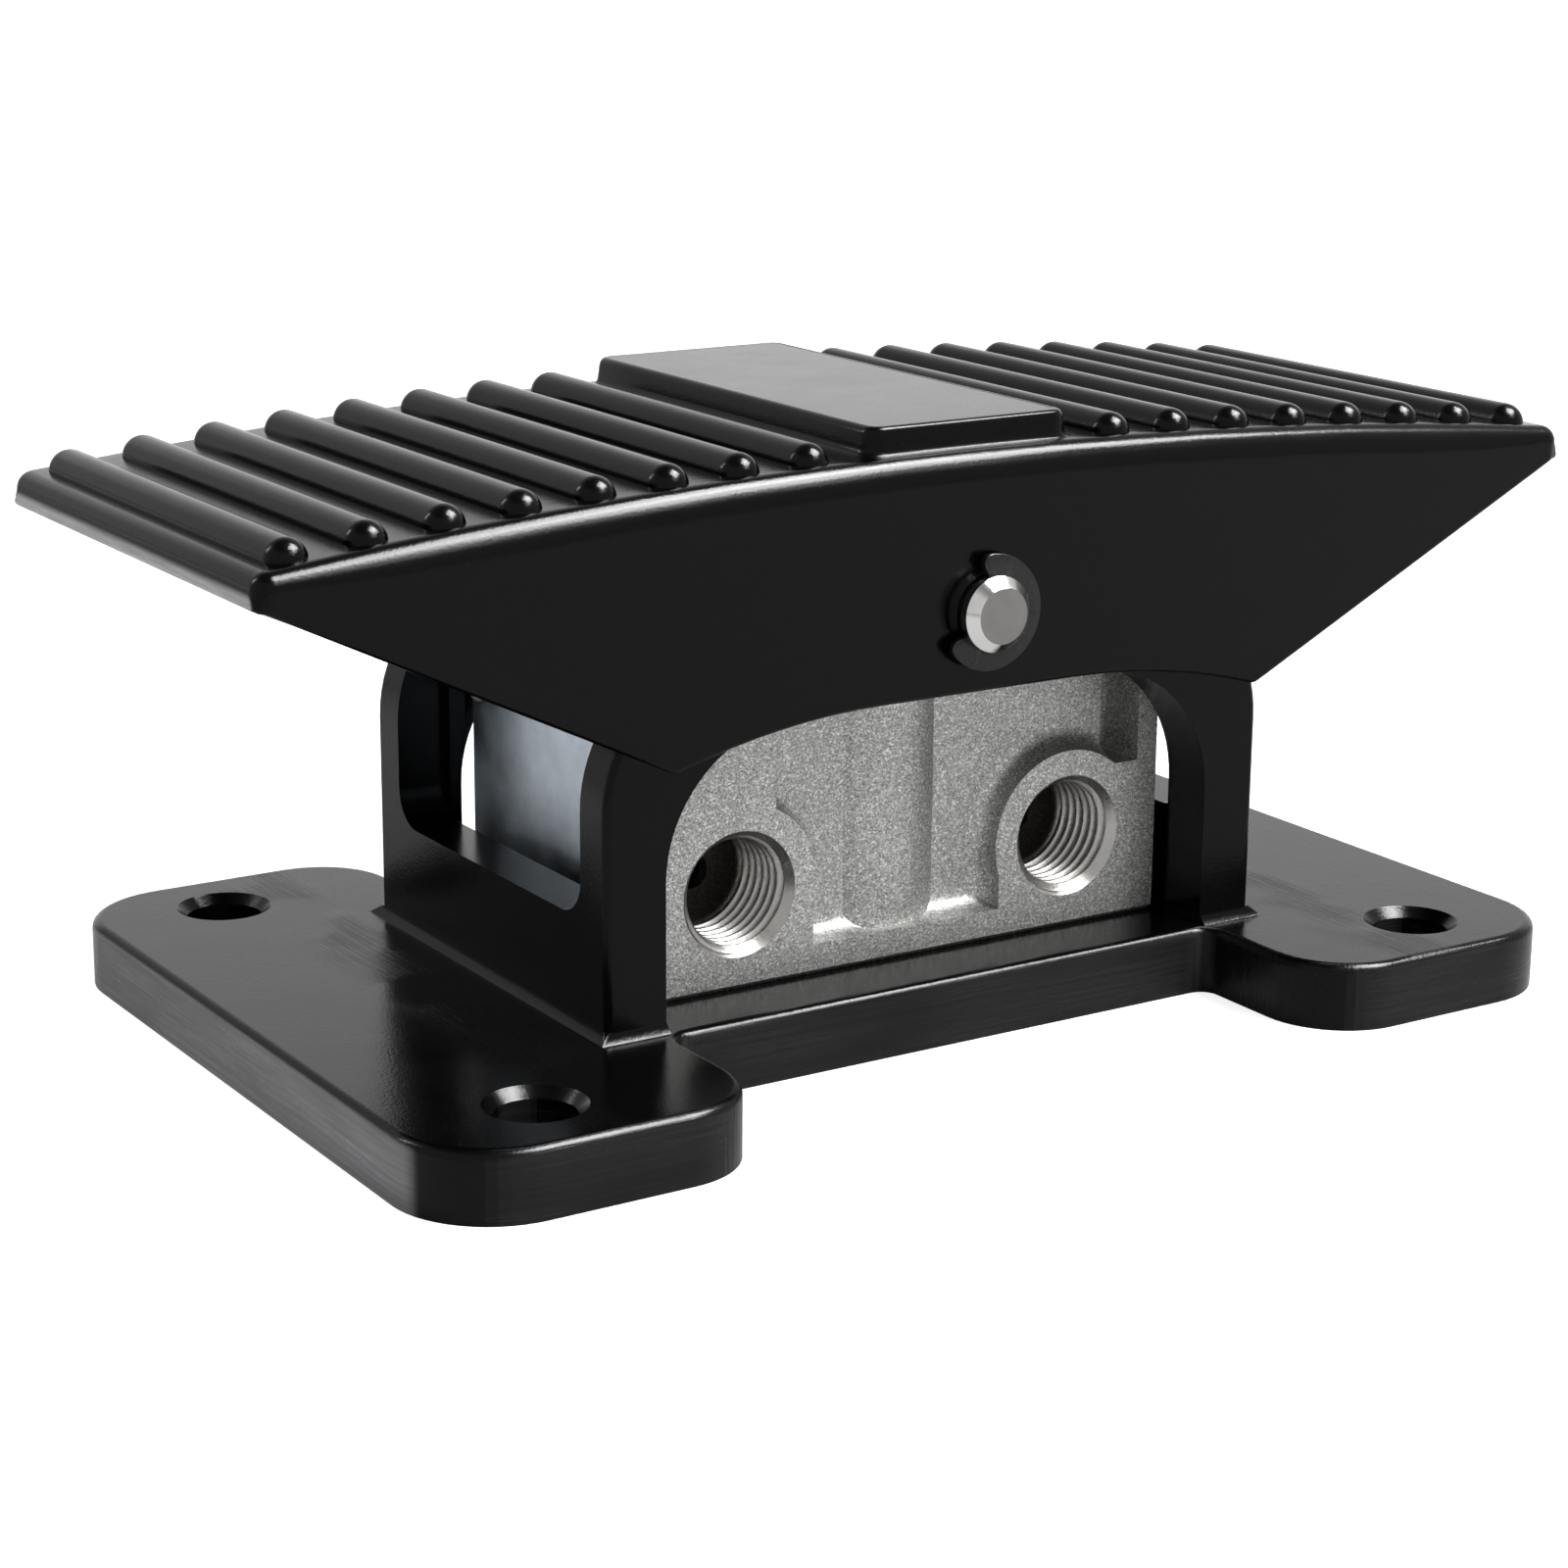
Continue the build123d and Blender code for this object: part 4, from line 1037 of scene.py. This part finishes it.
def pale_floor():
    """Pale floor: near white to the camera and in reflections, with the object's soft shadow kept."""
    finish = Finish("Pale studio floor")
    path = finish.node("ShaderNodeLightPath")
    mirrored = (path["Is Glossy Ray"] + path["Is Transmission Ray"]).clamped()
    shine = path["Is Camera Ray"] * 0.8 + mirrored * 0.15
    mottle = finish.noise(0.4, 2.0)
    colour = finish.ramp(mottle, (0.3, (0.80, 0.80, 0.80)), (0.7, (0.82, 0.82, 0.82)))
    paper = finish.node("ShaderNodeBsdfDiffuse", {}, {"Color": colour})["BSDF"]
    glow = finish.node("ShaderNodeEmission", {}, {"Color": shine, "Strength": 1.0})["Emission"]
    both = finish.node("ShaderNodeAddShader", {}, {0: paper, 1: glow})[0]
    finish.node("ShaderNodeOutputMaterial", {}, {"Surface": both})
    return finish.material


def studio_world(studio):
    """White near the horizon to the camera and in reflections, dimmer overhead, and soft as ambient light."""
    world = bpy.data.worlds.new("Studio")
    world.use_nodes = True
    sky = Finish.of_world(world)
    height = sky.node("ShaderNodeSeparateXYZ", {}, {0: sky.node("ShaderNodeTexCoord")["Generated"]})[2]
    ceiling = sky.range(height, sin(studio.sweep_low), sin(studio.sweep_high), studio.backdrop, studio.ceiling)
    path = sky.node("ShaderNodeLightPath")
    mirrored = (path["Is Glossy Ray"] + path["Is Transmission Ray"]).clamped()
    seen = path["Is Camera Ray"]
    strength = seen * studio.backdrop + mirrored * ceiling + (1 - seen - mirrored).clamped() * studio.ambient
    light = sky.node("ShaderNodeBackground", {}, {"Strength": strength})["Background"]
    sky.node("ShaderNodeOutputWorld", {}, {"Surface": light})
    bpy.context.scene.world = world


def softbox(name, place, target, width, height, power, card=False):
    """A soft rectangular lamp that faces a target. A card only shows in reflections, as a white board does."""
    lamp = bpy.data.lights.new(name, "AREA")
    lamp.shape = "RECTANGLE"
    lamp.size, lamp.size_y, lamp.energy = width, height, power
    holder = bpy.data.objects.new(name, lamp)
    bpy.context.scene.collection.objects.link(holder)
    holder.location = place
    holder.rotation_euler = (Vector(target) - Vector(place)).to_track_quat("-Z", "Y").to_euler()
    holder.visible_camera = False
    holder.visible_diffuse = not card
    return holder


FLOOR_HALF = 6.0
SENSOR_WIDTH_MM = 36.0
# Name, place, point that it faces, width, height, power, and whether it is a card.
SOFTBOXES = (
    ("Overhead strip", (0.42, -0.32, 0.89), (0, 0, 0.04), 0.42, 0.12, 5.5),
    ("Rear left strip", (-0.66, 0.66, 0.58), (0, 0, 0.05), 0.12, 0.36, 2.2),
    ("Front softbox", (0.46, -0.86, 0.90), (0, 0, 0.03), 0.6, 0.4, 6.0),
    ("Overhead card", (0.40, -0.30, 0.86), (0, 0, 0.05), 0.60, 0.50, 48.0, True),
    ("Rear card", (0.72, 1.12, 0.38), (0, 0, 0.05), 2.4, 0.80, 3.0, True),
)


class FOOTVALVE_OT_stage(PieceOperator, bpy.types.Operator):
    """Set the floor, the lamps, the world and the camera"""

    bl_idname = "footvalve.stage"
    bl_label = "Studio"

    def make(self):
        studio = settings("foot_studio")
        half = FLOOR_HALF
        corners = [(-half, -half, 0), (half, -half, 0), (half, half, 0), (-half, half, 0)]
        mesh = bpy.data.meshes.new("Studio floor")
        mesh.from_pydata(corners, [], [(0, 1, 2, 3)])
        floor = bpy.data.objects.new("Studio_floor", mesh)
        bpy.context.scene.collection.objects.link(floor)
        mesh.materials.append(pale_floor())
        studio_world(studio)
        for box in SOFTBOXES:
            softbox(*box)
        self.set_camera(studio)
        bpy.context.scene.view_settings.view_transform = "Standard"

    def set_camera(self, studio):
        """Places the camera from its azimuth, elevation and roll."""
        a, e, r = studio.azimuth, studio.elevation, studio.roll
        back = Vector((sin(a) * cos(e), -cos(a) * cos(e), sin(e)))
        level = Vector((cos(a), sin(a), 0))
        above = level.cross(-back)
        right = cos(r) * level + sin(r) * above
        up = cos(r) * above - sin(r) * level
        turn = Matrix((right, up, back)).transposed().to_4x4()
        data = bpy.data.cameras.new("Portrait camera")
        data.lens = studio.lens
        data.sensor_width = SENSOR_WIDTH_MM
        data.clip_start = 0.01
        camera = bpy.data.objects.new("Portrait camera", data)
        bpy.context.scene.collection.objects.link(camera)
        camera.matrix_world = Matrix.Translation(studio.camera_place) @ turn
        bpy.context.scene.camera = camera


OPERATORS = (
    FOOTVALVE_OT_castings,
    FOOTVALVE_OT_valve_body,
    FOOTVALVE_OT_end_plate,
    FOOTVALVE_OT_pivot,
    FOOTVALVE_OT_plungers,
    FOOTVALVE_OT_body_screws,
    FOOTVALVE_OT_stage,
)


class FOOTVALVE_PT_sidebar(bpy.types.Panel):
    """Lists the steps and the sizes of the foot valve"""

    bl_idname = "FOOTVALVE_PT_sidebar"
    bl_label = "Foot Valve"
    bl_space_type = "VIEW_3D"
    bl_region_type = "UI"
    bl_category = "Foot Valve"

    def draw(self, context):
        for operator in OPERATORS:
            self.layout.operator(operator.bl_idname)
        for name, group in SETTINGS.items():
            box = self.layout.box()
            box.label(text=group.__doc__)
            for key in group.__annotations__:
                box.prop(getattr(context.scene, name), key)


def register():
    for name, group in SETTINGS.items():
        bpy.utils.register_class(group)
        setattr(bpy.types.Scene, name, bpy.props.PointerProperty(type=group))
    for item in (*OPERATORS, FOOTVALVE_PT_sidebar):
        bpy.utils.register_class(item)


def unregister():
    for item in (FOOTVALVE_PT_sidebar, *reversed(OPERATORS)):
        bpy.utils.unregister_class(item)
    for name, group in reversed(SETTINGS.items()):
        delattr(bpy.types.Scene, name)
        bpy.utils.unregister_class(group)


def main():
    """Makes every piece and the studio."""
    register()
    for operator in OPERATORS:
        group, step = operator.bl_idname.split(".")
        getattr(getattr(bpy.ops, group), step)()


if __name__ == "__main__":
    main()
